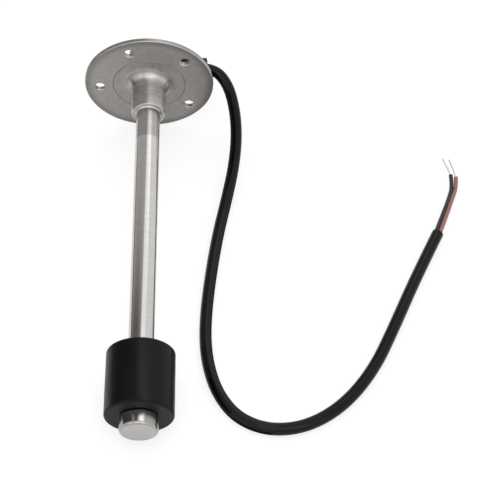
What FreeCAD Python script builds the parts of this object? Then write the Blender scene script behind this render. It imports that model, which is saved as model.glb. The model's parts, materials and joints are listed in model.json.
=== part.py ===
"""Reed switch fuel level sender, lying on a surface with its cable laid beside it.

Every piece is made about the stem's own axis: Y runs along the stem and out of the tank, with 0 on the
mounting face, X is across towards the cable gland and Z is up. lay() then leans the sender so that the
flange's rim and the float both touch the surface, and moves the origin to the middle of its underside.
Lengths are in millimetres.
"""

import math
import os

import FreeCAD
import Part
from FreeCAD import Vector

# Flange
flange_d = 70.0
flange_t = 2.5
flange_edge = 0.5
bolt_circle_d = 54.0
bolt_hole_d = 5.4
bolt_angles = (42.5, 110.1, 182.6, 252.1, 321.6)

# Hub collar
brim_d = 39.0
brim_t = 1.0
brim_gap = 0.2
brim_edge = 0.15
hub_d = 18.3
hub_length = 20.9
hub_fillet = 6.5
lip_land = 1.0
lip_round = 0.95
lip_groove = 0.25
bead_leg = 0.7
bead_land = 0.1

# Stem tube and end cap
stem_length = 209.9
tube_d = 12.7
tube_wall = 1.0
tube_fit = 0.05
tube_rise = 1.0
cap_d = 18.7
cap_length = 7.6
cap_edge = 1.5
cap_shoulder_edge = 0.3
cap_spigot = 5.0
cap_spigot_edge = 0.4

# Float and its magnet
float_d = 33.4
float_length = 34.1
float_edge = 1.2
float_bore_edge = 0.5
float_clearance = 0.6
float_gap = 0.3
magnet_wall = 2.8
magnet_length = 6.0
magnet_set_back = 0.25

# Head on the outer side
head_d = 23.2
head_height = 19.5
head_wall = 1.0
head_edge = 1.5
gland_rise = 9.3
boss_d = 12.4
boss_reach = 13.0

# Cable gland
gland_thread_d = 8.4
gland_thread_reach = 1.0
gland_flats = 10.2
gland_collar_t = 4.0
gland_neck = 5.0
gland_seal_length = 5.0
gland_nut_d = 11.0
gland_nut_flats = 10.2
gland_nut_gap = 0.3
gland_nut_edge = 0.4
gland_nut_face_edge = 1.2
gland_face_x = 31.8
gland_fit = 0.05
gland_mouth = 0.5
gland_mouth_step = 1.0
gland_mouth_flare = 0.9

# Cable, cores and conductors
cable_d = 6.2
core_d = 2.0
core_gap = 0.2
conductor_d = 0.65
lead_d = 1.6
core_inset = 1.0
grip_start = 0.5
exit_reach = 1.9
arc_share = 0.45

# Route of the cable after the gland, from the foot of the mounting face: X, Y and height of its middle.
# A height of 0 lays the cable on the surface.
cable_route = (
    (42.1, 4.9, 30.3),
    (46.4, -7.5, 24.0),
    (47.6, -21.9, 16.9),
    (45.8, -38.1, 9.7),
    (41.6, -57.2, 4.0),
    (37.0, -79.9, 0.0),
    (33.4, -105.2, 0.0),
    (30.9, -129.4, 0.0),
    (30.3, -149.5, 0.0),
    (32.4, -166.5, 0.0),
    (37.3, -181.5, 0.0),
    (46.4, -194.2, 0.0),
    (61.2, -200.9, 0.0),
    (79.5, -198.9, 0.0),
    (97.7, -187.0, 0.0),
    (113.3, -166.7, 0.0),
    (125.5, -140.7, 0.0),
    (139.2, -109.7, 0.0),
    (153.2, -80.9, 0.0),
)

# Routes of the two cores from the jacket's end, and of their stripped conductors.
core_routes = {
    "navy": ((157.4, -67.8, 2.7), (161.7, -55.9, 1.9), (164.4, -46.6, 1.2), (164.9, -37.9, 1.1)),
    "brown": ((159.4, -69.1, 2.7), (163.5, -57.4, 1.9), (167.0, -47.1, 1.2), (167.9, -39.6, 1.1)),
}
core_side = {"navy": -1.0, "brown": 1.0}
conductor_routes = {
    "navy": ((163.9, -32.3, 0.9), (161.9, -25.9, 0.7)),
    "brown": ((167.2, -33.3, 0.9), (165.5, -26.6, 0.7)),
}

# Board, switches and resistors in the stem
board_width = 8.0
board_t = 1.0
board_top = 8.0
board_pad_t = 1.9
switch_count = 8
switch_first = 45.0
switch_margin = 11.5
switch_d = 2.0
switch_length = 11.0
switch_wire_d = 0.5
switch_wire_reach = 1.5
switch_lift = 0.2
switch_x = -1.8
resistor_size = (1.6, 3.2, 0.6)
resistor_x = 2.2
lead_x = 0.5
lead_bend = 4.0
lead_depth = 20.0

# Sizes that follow from those above
flange_r = flange_d / 2
tube_r = tube_d / 2
tube_bore_r = tube_r - tube_wall
tube_seat_r = tube_r + tube_fit
hub_r = hub_d / 2
tube_end = stem_length - cap_length
float_r = float_d / 2
float_bore_r = tube_r + float_clearance
float_bottom = tube_end - float_gap
float_top = float_bottom - float_length
magnet_r = float_bore_r + magnet_set_back + magnet_wall
gland_y = flange_t + gland_rise
cable_r = cable_d / 2
gland_seal_r = gland_thread_d / 2
nut_cavity_r = gland_seal_r + gland_fit
collar_end_x = boss_reach + gland_collar_t
neck_end_x = collar_end_x + gland_neck
seal_end_x = neck_end_x + gland_seal_length
board_end = tube_end - cap_spigot - board_pad_t
lead_z = board_t / 2 + lead_d / 2
float_travel = float_top - hub_length - bead_leg

# Lean of the stem: the flange's rounded rim and the float's rounded lower edge both touch the surface.
lean_run = flange_edge + float_bottom - float_edge
lean_rise = (float_r - float_edge) - (flange_r - flange_edge)
lean = math.asin((flange_edge - float_edge) / math.hypot(lean_run, lean_rise)) - math.atan2(lean_rise, lean_run)
axis_height = (flange_r - flange_edge) * math.cos(lean) - flange_edge * math.sin(lean) + flange_edge


def corner_arc(before, corner, after, reach):
    """Arc that leaves one run and joins the next at a reach from their corner, and its radius."""
    back = (before - corner).normalize()
    ahead = (after - corner).normalize()
    half = back.getAngle(ahead) / 2
    middle_way = (back + ahead).normalize()
    radius = reach * math.tan(half)
    middle = corner + middle_way * (reach / math.cos(half) - radius)
    return corner + back * reach, middle, corner + ahead * reach, radius


def turned(corners):
    """Solid turned about the Y axis from (radius, y, rounding) corners."""
    points = [Vector(radius, y, 0) for radius, y, _ in corners]
    edges = []
    ends = []
    for i, (_, _, rounding) in enumerate(corners):
        before, here, after = points[i - 1], points[i], points[(i + 1) % len(points)]
        if rounding:
            half = (before - here).getAngle(after - here) / 2
            start, middle, end, _ = corner_arc(before, here, after, rounding / math.tan(half))
            edges.append(Part.Arc(start, middle, end).toShape())
            ends.append((start, end))
        else:
            ends.append((here, here))
    for i, (start, _) in enumerate(ends):
        edges.append(Part.LineSegment(ends[i - 1][1], start).toShape())
    wire = Part.Wire(Part.__sortEdges__(edges))
    return Part.Face(wire).revolve(Vector(0, 0, 0), Vector(0, 1, 0), 360)


def rod(radius, start, end):
    """Round bar between two points."""
    return Part.makeCylinder(radius, (end - start).Length, start, end - start)


def hexagon(flats, x, length):
    """Hexagonal bar along X about the gland's axis."""
    corner = flats / math.sqrt(3)
    points = []
    for i in range(7):
        angle = math.radians(60 * i)
        points.append(Vector(x, gland_y + corner * math.cos(angle), corner * math.sin(angle)))
    return Part.Face(Part.makePolygon(points)).extrude(Vector(length, 0, 0))


def gland_rod(radius, x0, x1):
    """Round bar along X about the gland's axis."""
    return rod(radius, Vector(x0, gland_y, 0), Vector(x1, gland_y, 0))


def cord(name, points, diameter):
    """Tube along straight runs, joined by arcs as large as the runs allow."""
    edges = []
    radii = []
    last = points[0]
    for before, corner, after in zip(points, points[1:], points[2:]):
        reach = arc_share * min((corner - before).Length, (after - corner).Length)
        start, middle, end, radius = corner_arc(before, corner, after, reach)
        edges.append(Part.LineSegment(last, start).toShape())
        edges.append(Part.Arc(start, middle, end).toShape())
        radii.append(round(radius, 1))
        last = end
    edges.append(Part.LineSegment(last, points[-1]).toShape())
    path = Part.Wire(edges)
    section = Part.Wire(Part.makeCircle(diameter / 2, points[0], points[1] - points[0]))
    tube = path.makePipeShell([section], True, False)
    expected = math.pi * diameter ** 2 / 4 * path.Length
    print(name, "length", round(path.Length, 1), "volume", round(tube.Volume / expected, 4), "radii", radii)
    return tube


def make_flange():
    """Disc with a recess for the collar's brim and five bolt holes, one gap wider than the rest."""
    recess_r = brim_d / 2 + brim_gap
    disc = turned((
        (tube_seat_r, brim_t, 0),
        (recess_r, brim_t, 0),
        (recess_r, 0, 0),
        (flange_r, 0, flange_edge),
        (flange_r, flange_t, flange_edge),
        (tube_seat_r, flange_t, 0),
    ))
    for angle in bolt_angles:
        across = bolt_circle_d / 2 * math.cos(math.radians(angle))
        up = bolt_circle_d / 2 * math.sin(math.radians(angle))
        disc = disc.cut(rod(bolt_hole_d / 2, Vector(across, -1, up), Vector(across, flange_t + 1, up)))
    return disc


def make_hub():
    """Collar with a flush brim, a large fillet, a rounded lip and a bead against the tube."""
    groove_in = tube_seat_r + bead_leg + bead_land
    groove_out = hub_r - lip_land
    return turned((
        (tube_seat_r, brim_t, 0),
        (brim_d / 2, brim_t, 0),
        (brim_d / 2, 0, brim_edge),
        (hub_r, 0, hub_fillet),
        (hub_r, -hub_length, lip_round),
        (groove_out, -hub_length, 0),
        (groove_out - lip_groove, -hub_length + lip_groove, 0),
        (groove_in + lip_groove, -hub_length + lip_groove, 0),
        (groove_in, -hub_length, 0),
        (tube_seat_r, -hub_length - bead_leg, 0),
    ))


def make_tube():
    """Stem tube from inside the head down to the end cap's shoulder."""
    return turned((
        (tube_bore_r, flange_t + tube_rise, 0),
        (tube_r, flange_t + tube_rise, 0),
        (tube_r, -tube_end, 0),
        (tube_bore_r, -tube_end, 0),
    ))


def make_cap():
    """Turned end cap with a spigot in the tube."""
    spigot_r = tube_bore_r - tube_fit
    return turned((
        (0, -tube_end + cap_spigot, 0),
        (spigot_r, -tube_end + cap_spigot, cap_spigot_edge),
        (spigot_r, -tube_end, 0),
        (cap_d / 2, -tube_end, cap_shoulder_edge),
        (cap_d / 2, -stem_length, cap_edge),
        (0, -stem_length, 0),
    ))


def make_float():
    """Float with a groove for the magnet half way down its bore."""
    middle = -(float_top + float_bottom) / 2
    return turned((
        (float_bore_r, -float_top, float_bore_edge),
        (float_r, -float_top, float_edge),
        (float_r, -float_bottom, float_edge),
        (float_bore_r, -float_bottom, float_bore_edge),
        (float_bore_r, middle - magnet_length / 2, 0),
        (magnet_r, middle - magnet_length / 2, 0),
        (magnet_r, middle + magnet_length / 2, 0),
        (float_bore_r, middle + magnet_length / 2, 0),
    ))


def make_magnet():
    """Ring magnet set just back from the float's bore."""
    middle = -(float_top + float_bottom) / 2
    inner = float_bore_r + magnet_set_back
    return turned((
        (inner, middle - magnet_length / 2, 0),
        (magnet_r, middle - magnet_length / 2, 0),
        (magnet_r, middle + magnet_length / 2, 0),
        (inner, middle + magnet_length / 2, 0),
    ))


def make_head():
    """Drawn cup on the flange, with a boss that the gland screws into."""
    top = flange_t + head_height
    outside = turned((
        (0, flange_t, 0),
        (head_d / 2, flange_t, 0),
        (head_d / 2, top, head_edge),
        (0, top, 0),
    ))
    inside = turned((
        (0, flange_t, 0),
        (head_d / 2 - head_wall, flange_t, 0),
        (head_d / 2 - head_wall, top - head_wall, head_edge - head_wall),
        (0, top - head_wall, 0),
    ))
    boss = gland_rod(boss_d / 2, 1, boss_reach)
    hole = gland_rod(gland_thread_d / 2 + gland_fit, 1, boss_reach + 1)
    return outside.fuse(boss).cut(inside).cut(hole).removeSplitter()


def make_gland_body():
    """Gland body: thread in the boss, collar with flats, and a neck under the nut."""
    inner_x = head_d / 2 - head_wall - gland_thread_reach
    body = gland_rod(gland_thread_d / 2, inner_x, neck_end_x)
    body = body.fuse(hexagon(gland_flats, boss_reach, gland_collar_t))
    return body.cut(gland_rod(cable_r + gland_fit, inner_x - 1, neck_end_x + 1)).removeSplitter()


def make_gland_seal():
    """Rubber ring that the nut squeezes onto the cable."""
    return gland_rod(gland_seal_r, neck_end_x, seal_end_x).cut(gland_rod(cable_r, neck_end_x - 1, seal_end_x + 1))


def make_gland_nut():
    """Nut with flats, a rounded end and a flared mouth."""
    start_x = collar_end_x + gland_nut_gap
    along_x = FreeCAD.Rotation(Vector(0, 1, 0), Vector(1, 0, 0))
    shell = turned((
        (0, start_x, 0),
        (gland_nut_d / 2, start_x, gland_nut_edge),
        (gland_nut_d / 2, gland_face_x, gland_nut_face_edge),
        (0, gland_face_x, 0),
    ))
    mouth_r = cable_r + gland_mouth
    mouth_x = seal_end_x + gland_mouth_step
    mouth = turned((
        (0, mouth_x, 0),
        (mouth_r, mouth_x, 0),
        (mouth_r + gland_mouth_flare, gland_face_x, 0),
        (mouth_r + gland_mouth_flare, gland_face_x + 1, 0),
        (0, gland_face_x + 1, 0),
    ))
    for piece in (shell, mouth):
        piece.Placement = FreeCAD.Placement(Vector(0, gland_y, 0), along_x)
    nut = shell.common(hexagon(gland_nut_flats, start_x, gland_face_x - start_x))
    nut = nut.cut(mouth).cut(gland_rod(nut_cavity_r, start_x - 1, seal_end_x))
    return nut.cut(gland_rod(mouth_r, seal_end_x - 1, mouth_x + 1)).removeSplitter()


def make_board():
    """Narrow board down the middle of the stem."""
    corner = Vector(-board_width / 2, -board_end, -board_t / 2)
    return Part.makeBox(board_width, board_end - board_top, board_t, corner)


def make_board_pad():
    """Rubber pad between the board and the end cap."""
    low = -tube_end + cap_spigot
    return rod(tube_bore_r - tube_fit, Vector(0, low, 0), Vector(0, low + board_pad_t, 0))


def make_switch(depth):
    """Glass reed switch lying along the board, with its two wires bent down to it."""
    height = board_t / 2 + switch_lift + switch_d / 2
    half = switch_length / 2
    middle = Vector(switch_x, -depth, height)
    glass = turned((
        (0, -half, 0),
        (switch_d / 2, -half, switch_d * 0.3),
        (switch_d / 2, half, switch_d * 0.3),
        (0, half, 0),
    ))
    glass.translate(middle)
    wire_r = switch_wire_d / 2
    for way in (-1, 1):
        tip = middle + Vector(0, way * (half + switch_wire_reach), 0)
        foot = Vector(tip.x, tip.y, board_t / 2)
        wire = rod(wire_r, middle + Vector(0, way * (half - 1), 0), tip)
        wire = wire.fuse(Part.makeSphere(wire_r, tip)).fuse(rod(wire_r, foot, tip))
        glass = glass.fuse(wire)
    return glass.removeSplitter()


def make_resistor(depth):
    """Chip resistor on the board."""
    across, along, thick = resistor_size
    return Part.makeBox(across, along, thick, Vector(resistor_x - across / 2, -depth - along / 2, board_t / 2))


def make_inner_lead(side):
    """Core from the jacket's end in the gland, through the head and down to the board."""
    z = side * lead_z
    start = Vector(neck_end_x + grip_start, gland_y, z)
    corner = Vector(lead_x, gland_y, z)
    end = Vector(lead_x, -lead_depth, z)
    arc_start, middle, arc_end, _ = corner_arc(start, corner, end, lead_bend)
    path = Part.Wire([
        Part.LineSegment(start, arc_start).toShape(),
        Part.Arc(arc_start, middle, arc_end).toShape(),
        Part.LineSegment(arc_end, end).toShape(),
    ])
    section = Part.Wire(Part.makeCircle(lead_d / 2, start, corner - start))
    return path.makePipeShell([section], True, False)


def spread(first, last, count):
    """Evenly spaced depths from first to last."""
    return [first + (last - first) * i / (count - 1) for i in range(count)]


def leaned(point):
    """Point of the stem's own axes after the lean, above the foot of the mounting face."""
    turned_point = FreeCAD.Rotation(Vector(1, 0, 0), math.degrees(lean)).multVec(point)
    return turned_point + Vector(0, 0, axis_height)


def lay(shape):
    """Piece leaned with the stem."""
    shape = shape.copy()
    shape.Placement = FreeCAD.Placement(
        Vector(0, 0, axis_height), FreeCAD.Rotation(Vector(1, 0, 0), math.degrees(lean))
    ).multiply(shape.Placement)
    return shape


def make_sender():
    """Pieces about the stem's own axes."""
    pieces = {
        "mounting_flange": make_flange(),
        "hub_collar": make_hub(),
        "stem_tube": make_tube(),
        "end_cap": make_cap(),
        "float_body": make_float(),
        "float_magnet": make_magnet(),
        "head_housing": make_head(),
        "gland_body": make_gland_body(),
        "gland_seal": make_gland_seal(),
        "gland_nut": make_gland_nut(),
        "circuit_board": make_board(),
        "board_pad": make_board_pad(),
        "inner_lead_navy": make_inner_lead(1),
        "inner_lead_brown": make_inner_lead(-1),
    }
    depths = spread(switch_first, board_end - switch_margin, switch_count)
    for i, depth in enumerate(depths, start=1):
        pieces[f"reed_switch_{i}"] = make_switch(depth)
        pieces[f"resistor_{i}"] = make_resistor(depth)
    return pieces


def make_cable():
    """Cable, cores and conductors, as they lie on the surface."""
    start = leaned(Vector(neck_end_x + grip_start, gland_y, 0))
    exit_corner = leaned(Vector(gland_face_x + exit_reach, gland_y, 0))
    route = [start, exit_corner]
    route += [Vector(x, y, max(z, cable_r)) for x, y, z in cable_route]
    pieces = {"cable_jacket": cord("cable_jacket", route, cable_d)}
    along = (route[-1] - route[-2]).normalize()
    across = along.cross(Vector(0, 0, 1))
    for colour, points in core_routes.items():
        first = route[-1] - along * core_inset + across * (core_side[colour] * (core_d + core_gap) / 2)
        core = [first] + [Vector(*point) for point in points]
        pieces[f"core_{colour}"] = cord(f"core_{colour}", core, core_d)
        tip = core[-1] + (core[-2] - core[-1]).normalize() * core_inset
        wire = [tip] + [Vector(*point) for point in conductor_routes[colour]]
        pieces[f"conductor_{colour}"] = cord(f"conductor_{colour}", wire, conductor_d)
    return pieces


def main():
    """Make every piece, set the origin under the sender's middle and write the files."""
    sender = {name: lay(shape) for name, shape in make_sender().items()}
    box = Part.makeCompound(list(sender.values())).optimalBoundingBox(False, False)
    origin_y = (box.YMin + box.YMax) / 2
    print("lean", round(math.degrees(lean), 3), "axis height", round(axis_height, 3))
    print("origin y", round(origin_y, 3), "lowest", round(box.ZMin, 3), "travel", round(float_travel, 2))
    os.makedirs("parts", exist_ok=True)
    for name, shape in {**sender, **make_cable()}.items():
        shape.translate(Vector(0, -origin_y, 0))
        shape.exportStep(f"parts/{name}.step")


main()
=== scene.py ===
"""Looks of a reed switch fuel level sender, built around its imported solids.

The turned pieces are made in the stem's own axes: Y runs along the stem and out of the tank, with 0 on the
mounting face, X is across towards the cable gland and Z is up from the surface that the sender lies on.
Sizes in the classes are in millimetres unless they say otherwise, and meshes are made in metres.
"""

import json
import logging
import math
from dataclasses import dataclass, field
from enum import Enum
from typing import Callable, ClassVar, Iterable, Sequence

import bmesh
import bpy
from mathutils import Matrix, Vector, noise

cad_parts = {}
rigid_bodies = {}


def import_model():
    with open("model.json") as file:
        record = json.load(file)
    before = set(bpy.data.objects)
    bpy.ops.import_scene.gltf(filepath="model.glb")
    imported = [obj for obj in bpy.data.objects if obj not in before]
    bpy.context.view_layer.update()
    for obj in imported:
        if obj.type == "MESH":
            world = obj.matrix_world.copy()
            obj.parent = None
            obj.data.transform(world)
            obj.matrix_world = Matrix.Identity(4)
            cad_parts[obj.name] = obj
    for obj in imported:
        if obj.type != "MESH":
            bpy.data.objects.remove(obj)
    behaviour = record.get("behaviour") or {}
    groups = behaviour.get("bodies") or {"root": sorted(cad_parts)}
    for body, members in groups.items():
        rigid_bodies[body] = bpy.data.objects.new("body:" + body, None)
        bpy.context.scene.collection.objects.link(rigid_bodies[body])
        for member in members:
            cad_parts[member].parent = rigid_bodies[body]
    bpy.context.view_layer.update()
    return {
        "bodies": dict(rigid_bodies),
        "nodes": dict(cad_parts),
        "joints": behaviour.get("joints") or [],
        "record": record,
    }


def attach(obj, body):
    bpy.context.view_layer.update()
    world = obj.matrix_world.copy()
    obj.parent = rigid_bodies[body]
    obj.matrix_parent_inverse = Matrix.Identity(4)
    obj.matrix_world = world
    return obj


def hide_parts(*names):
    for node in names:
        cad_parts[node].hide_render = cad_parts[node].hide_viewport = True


Colour = tuple[float, float, float]
Place = tuple[float, float, float]
Span = tuple[float, float]
Piece = bpy.types.Object
Socket = bpy.types.NodeSocket

LOG = logging.getLogger("fuel_level_sender")
MM = 0.001
UP = Vector((0.0, 0.0, 1.0))
# How close a corner lies to the face that it is measured on
NEAR = 0.01
# How far a cutting mesh reaches past the piece that it cuts
PAST = 1.0
# The whole of a share, the stretch where most of a noise lies, and the middle of both
SHARE: Span = (0.0, 1.0)
CLOUDS: Span = (0.3, 0.7)
MIDDLE = 0.5


class Body(Enum):
    """Bodies that pieces ride on."""

    SENDER = "sender"
    FLOAT = "float"


class Axis(Enum):
    """The stem's own axes."""

    ACROSS = 0
    ALONG = 1
    HEIGHT = 2


class Cut(Enum):
    """Ways in which one mesh is worked by another."""

    AWAY = "DIFFERENCE"
    JOIN = "UNION"
    KEEP = "INTERSECT"


class Grain(Enum):
    """Direction of the fine marks that a tool left on a metal surface."""

    TURNED = "rings about the stem"
    PICKLED = "even, with no direction"


class Detail(Enum):
    """How finely the clouds of a noise break up."""

    SOFT = 2.0
    EVEN = 3.0
    FINE = 4.0
    FINEST = 5.0


class StemAxes:
    """The stem's own axes, found from the float's slide and the flange's solid.

    Attributes:
        nodes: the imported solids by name.
        record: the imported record.
        matrix: takes a point of the stem's axes, in metres, to the row frame.
    """

    def __init__(self, frame: dict) -> None:
        """Find the axes.
        """
        self.nodes: dict[str, Piece] = frame["nodes"]
        self.record: dict = frame["record"]
        along = Vector(frame["joints"][0]["axis"]).normalized()
        across = Vector((1.0, 0.0, 0.0))
        rows = Matrix((across, along, across.cross(along)))
        turned = [rows @ vertex.co for vertex in self.nodes["mounting_flange"].data.vertices]
        low = [min(point[i] for point in turned) for i in range(3)]
        high = [max(point[i] for point in turned) for i in range(3)]
        face = Vector(((low[0] + high[0]) / 2, low[1], (low[2] + high[2]) / 2))
        self.matrix = Matrix.Translation(rows.transposed() @ face) @ rows.transposed().to_4x4()
        self._inverse = self.matrix.inverted()

    def local(self, place: Sequence[float]) -> Vector:
        """Point of the row frame, in metres, in the stem's axes and millimetres."""
        return self._inverse @ Vector(place) / MM

    def world(self, place: Sequence[float]) -> Vector:
        """Point of the stem's axes, in millimetres, in the row frame and metres."""
        return self.matrix @ (Vector(place) * MM)

    def corners(self, node: str) -> list[Vector]:
        """Corners of a solid's mesh in the stem's axes."""
        return [self.local(vertex.co) for vertex in self.nodes[node].data.vertices]

    def reach(self, node: str, axis: Axis) -> Span:
        """Lowest and highest place of a solid along one of the stem's axes."""
        places = [corner[axis.value] for corner in self.corners(node)]
        return min(places), max(places)

    def radii(self, node: str, low: float, high: float) -> Span:
        """Smallest and largest distance of a solid's corners from the stem's axis, on a stretch of it."""
        found = [math.hypot(c.x, c.z) for c in self.corners(node) if low <= c.y <= high]
        return min(found), max(found)

    def turned_size(self, node: str) -> tuple[float, float, float, float]:
        """Lower end, upper end, smallest radius and largest radius of a turned solid."""
        low, top = self.reach(node, Axis.ALONG)
        return low, top, *self.radii(node, low, top)

    def end_radius(self, node: str) -> float:
        """Radius of a solid's end face on the cable's side."""
        end = self.reach(node, Axis.ACROSS)[1]
        return max(corner.z for corner in self.corners(node) if corner.x > end - NEAR)


@dataclass(frozen=True)
class Corner:
    """Corner of a turned outline.

    Attributes:
        radius: distance from the axis.
        along: place along the axis.
        rounding: radius of the rounded corner, or 0 for a sharp one.
    """

    radius: float
    along: float
    rounding: float = 0.0


@dataclass(frozen=True)
class Outline:
    """Outline of a turned piece: a closed ring of corners, or a chain that starts and ends on the axis.

    Attributes:
        corners: the corners in order.
        longest: longest step between two points.
        arc_steps: steps round one corner.
        hold: short flat beside a rounded corner, which keeps the shading of the faces that it joins clean.
    """

    corners: tuple[Corner, ...]
    longest: float = math.inf
    arc_steps: int = 8
    hold: float = 0.06

    @property
    def is_ring(self) -> bool:
        """Whether the outline is a ring that never touches the axis."""
        return self.corners[0].radius > 0

    def points(self) -> list[Vector]:
        """Work out the outline's points.

        Returns:
            The points as (radius, along).
        """
        found: list[Vector] = []
        for i, corner in enumerate(self.corners):
            here = self._place(i)
            if corner.rounding:
                found += self._arc(self._place(i - 1), here, self._place(i + 1), corner.rounding)
            else:
                found.append(here)
        if self.is_ring:
            found.append(found[0])
        stepped = self._stepped(found)
        return stepped[:-1] if self.is_ring else stepped

    def _place(self, index: int) -> Vector:
        """Corner's place as a point, counted round the ring."""
        corner = self.corners[index % len(self.corners)]
        return Vector((corner.radius, corner.along))

    def _arc(self, before: Vector, here: Vector, after: Vector, rounding: float) -> list[Vector]:
        """Round a corner, and give the arc its holding flats.

        Args:
            before: the corner before.
            here: the corner that is rounded.
            after: the corner after.
            rounding: the arc's radius.

        Returns:
            The points in order.
        """
        back = (before - here).normalized()
        ahead = (after - here).normalized()
        half = back.angle(ahead) / 2
        reach = rounding / math.tan(half)
        middle = here + (back + ahead).normalized() * (rounding / math.sin(half))
        first = (here + back * reach - middle).normalized()
        last = (here + ahead * reach - middle).normalized()
        turns = [first.slerp(last, i / self.arc_steps) for i in range(self.arc_steps + 1)]
        arc = [middle + turn * rounding for turn in turns]
        return [arc[0] + back * self.hold, *arc, arc[-1] + ahead * self.hold]

    def _stepped(self, points: list[Vector]) -> list[Vector]:
        """Divide long steps evenly.

        Args:
            points: the points before.

        Returns:
            The points with those between them.
        """
        found = [points[0]]
        for start, end in zip(points, points[1:]):
            count = max(1, math.ceil((end - start).length / self.longest))
            found += [start.lerp(end, i / count) for i in range(1, count + 1)]
        return found


class Maker:
    """Mesh and object making that the sub-assemblies share."""

    sharp_angle: ClassVar[float] = math.radians(32)

    @staticmethod
    def place(name: str, data: bpy.types.ID, axes: Matrix) -> Piece:
        """Put an object in the scene.

        Args:
            name: the object's name.
            data: its mesh, curve, light or camera.
            axes: takes the data to the row frame.

        Returns:
            The object.
        """
        made = bpy.data.objects.new(name, data)
        made.matrix_world = axes
        bpy.context.scene.collection.objects.link(made)
        return made

    @classmethod
    def smooth(cls, mesh: bpy.types.Mesh) -> None:
        """Shade a mesh smooth, with edges past the sharp angle kept crisp."""
        mesh.polygons.foreach_set("use_smooth", [True] * len(mesh.polygons))
        mesh.set_sharp_from_angle(angle=cls.sharp_angle)

    @classmethod
    def meshed(
        cls, name: str, places: Sequence[Sequence[float]], faces: Sequence[Sequence[int]], axes: Matrix
    ) -> Piece:
        """Make a smooth piece with its faces turned outwards.

        Args:
            name: the piece's name.
            places: its vertices, in millimetres.
            faces: its faces.
            axes: takes the mesh, which is in metres, to the row frame.

        Returns:
            The piece.
        """
        made = bpy.data.meshes.new(name)
        made.from_pydata([Vector(place) * MM for place in places], [], faces)
        work = bmesh.new()
        work.from_mesh(made)
        bmesh.ops.recalc_face_normals(work, faces=work.faces)
        work.to_mesh(made)
        work.free()
        cls.smooth(made)
        return cls.place(name, made, axes)

    @classmethod
    def turned(
        cls,
        name: str,
        outline: Outline,
        axes: Matrix,
        segments: int = 256,
        shift: Callable[[Vector], Vector] | None = None,
    ) -> Piece:
        """Turn a piece about the Y axis.

        Args:
            name: the piece's name.
            outline: the outline to turn.
            axes: takes the piece to the row frame.
            segments: how many steps go round.
            shift: moves each vertex a little, for pieces that aren't quite true.

        Returns:
            The piece.
        """
        places: list[Vector] = []
        rings: list[list[int]] = []
        for radius, along in outline.points():
            count = segments if radius > 0 else 1
            start = len(places)
            for i in range(count):
                angle = math.tau * i / segments
                places.append(Vector((radius * math.cos(angle), along, radius * math.sin(angle))))
            rings.append([start + i % count for i in range(segments)])
        if outline.is_ring:
            rings.append(rings[0])
        faces = []
        for lower, upper in zip(rings, rings[1:]):
            for i in range(segments):
                j = (i + 1) % segments
                loop = dict.fromkeys((lower[i], lower[j], upper[j], upper[i]))
                faces.append(tuple(loop))
        if shift:
            places = [shift(place) for place in places]
        return cls.meshed(name, places, faces, axes)

    @staticmethod
    def ahead(line: Sequence[Vector], index: int) -> Vector:
        """Direction of a line at one of its points."""
        return (line[min(index + 1, len(line) - 1)] - line[max(index - 1, 0)]).normalized()

    @classmethod
    def wires(cls, name: str, lines: Sequence[Sequence[Vector]], radius: float, sides: int = 10) -> Piece:
        """Make round wires along lines of points.

        Args:
            name: the piece's name.
            lines: each wire's points, in millimetres of the row frame.
            radius: the wires' radius.
            sides: how many sides a wire has.

        Returns:
            The piece.
        """
        places: list[Vector] = []
        faces: list[tuple[int, ...]] = []
        for line in lines:
            first = len(places)
            side = (line[1] - line[0]).orthogonal().normalized()
            for i, point in enumerate(line):
                ahead = cls.ahead(line, i)
                side = (side - ahead * side.dot(ahead)).normalized()
                other = ahead.cross(side)
                for k in range(sides):
                    angle = math.tau * k / sides
                    places.append(point + (side * math.cos(angle) + other * math.sin(angle)) * radius)
            for i in range(len(line) - 1):
                for k in range(sides):
                    low = first + i * sides
                    following = (k + 1) % sides
                    faces.append((low + k, low + following, low + sides + following, low + sides + k))
            last = first + (len(line) - 1) * sides
            faces.append(tuple(range(first, first + sides)))
            faces.append(tuple(range(last, last + sides)))
        return cls.meshed(name, places, faces, Matrix.Identity(4))

    @classmethod
    def work(cls, piece: Piece, tools: Iterable[Piece], cut: Cut) -> None:
        """Work a piece with other meshes, which are used up.

        Args:
            piece: the object whose mesh changes.
            tools: the objects that work it.
            cut: how they work it.
        """
        tools = list(tools)
        for tool in tools:
            step = piece.modifiers.new(tool.name, "BOOLEAN")
            step.operation = cut.value
            step.solver = "EXACT"
            step.object = tool
        graph = bpy.context.evaluated_depsgraph_get()
        graph.update()
        old = piece.data
        made = bpy.data.meshes.new_from_object(piece.evaluated_get(graph), depsgraph=graph)
        piece.modifiers.clear()
        piece.data = made
        made.name = old.name
        bpy.data.meshes.remove(old)
        for tool in tools:
            bpy.data.meshes.remove(tool.data)
        cls.smooth(made)

    @staticmethod
    def fix(piece: Piece, finish: "Finish", body: Body, slot: str, *nodes: str) -> Piece:
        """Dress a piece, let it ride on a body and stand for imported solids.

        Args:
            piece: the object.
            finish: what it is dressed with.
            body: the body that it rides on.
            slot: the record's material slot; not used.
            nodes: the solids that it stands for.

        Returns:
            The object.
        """
        piece.data.materials.clear()
        piece.data.materials.append(finish.material())
        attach(piece, body.value)
        if nodes:
            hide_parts(*nodes)
        return piece


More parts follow.
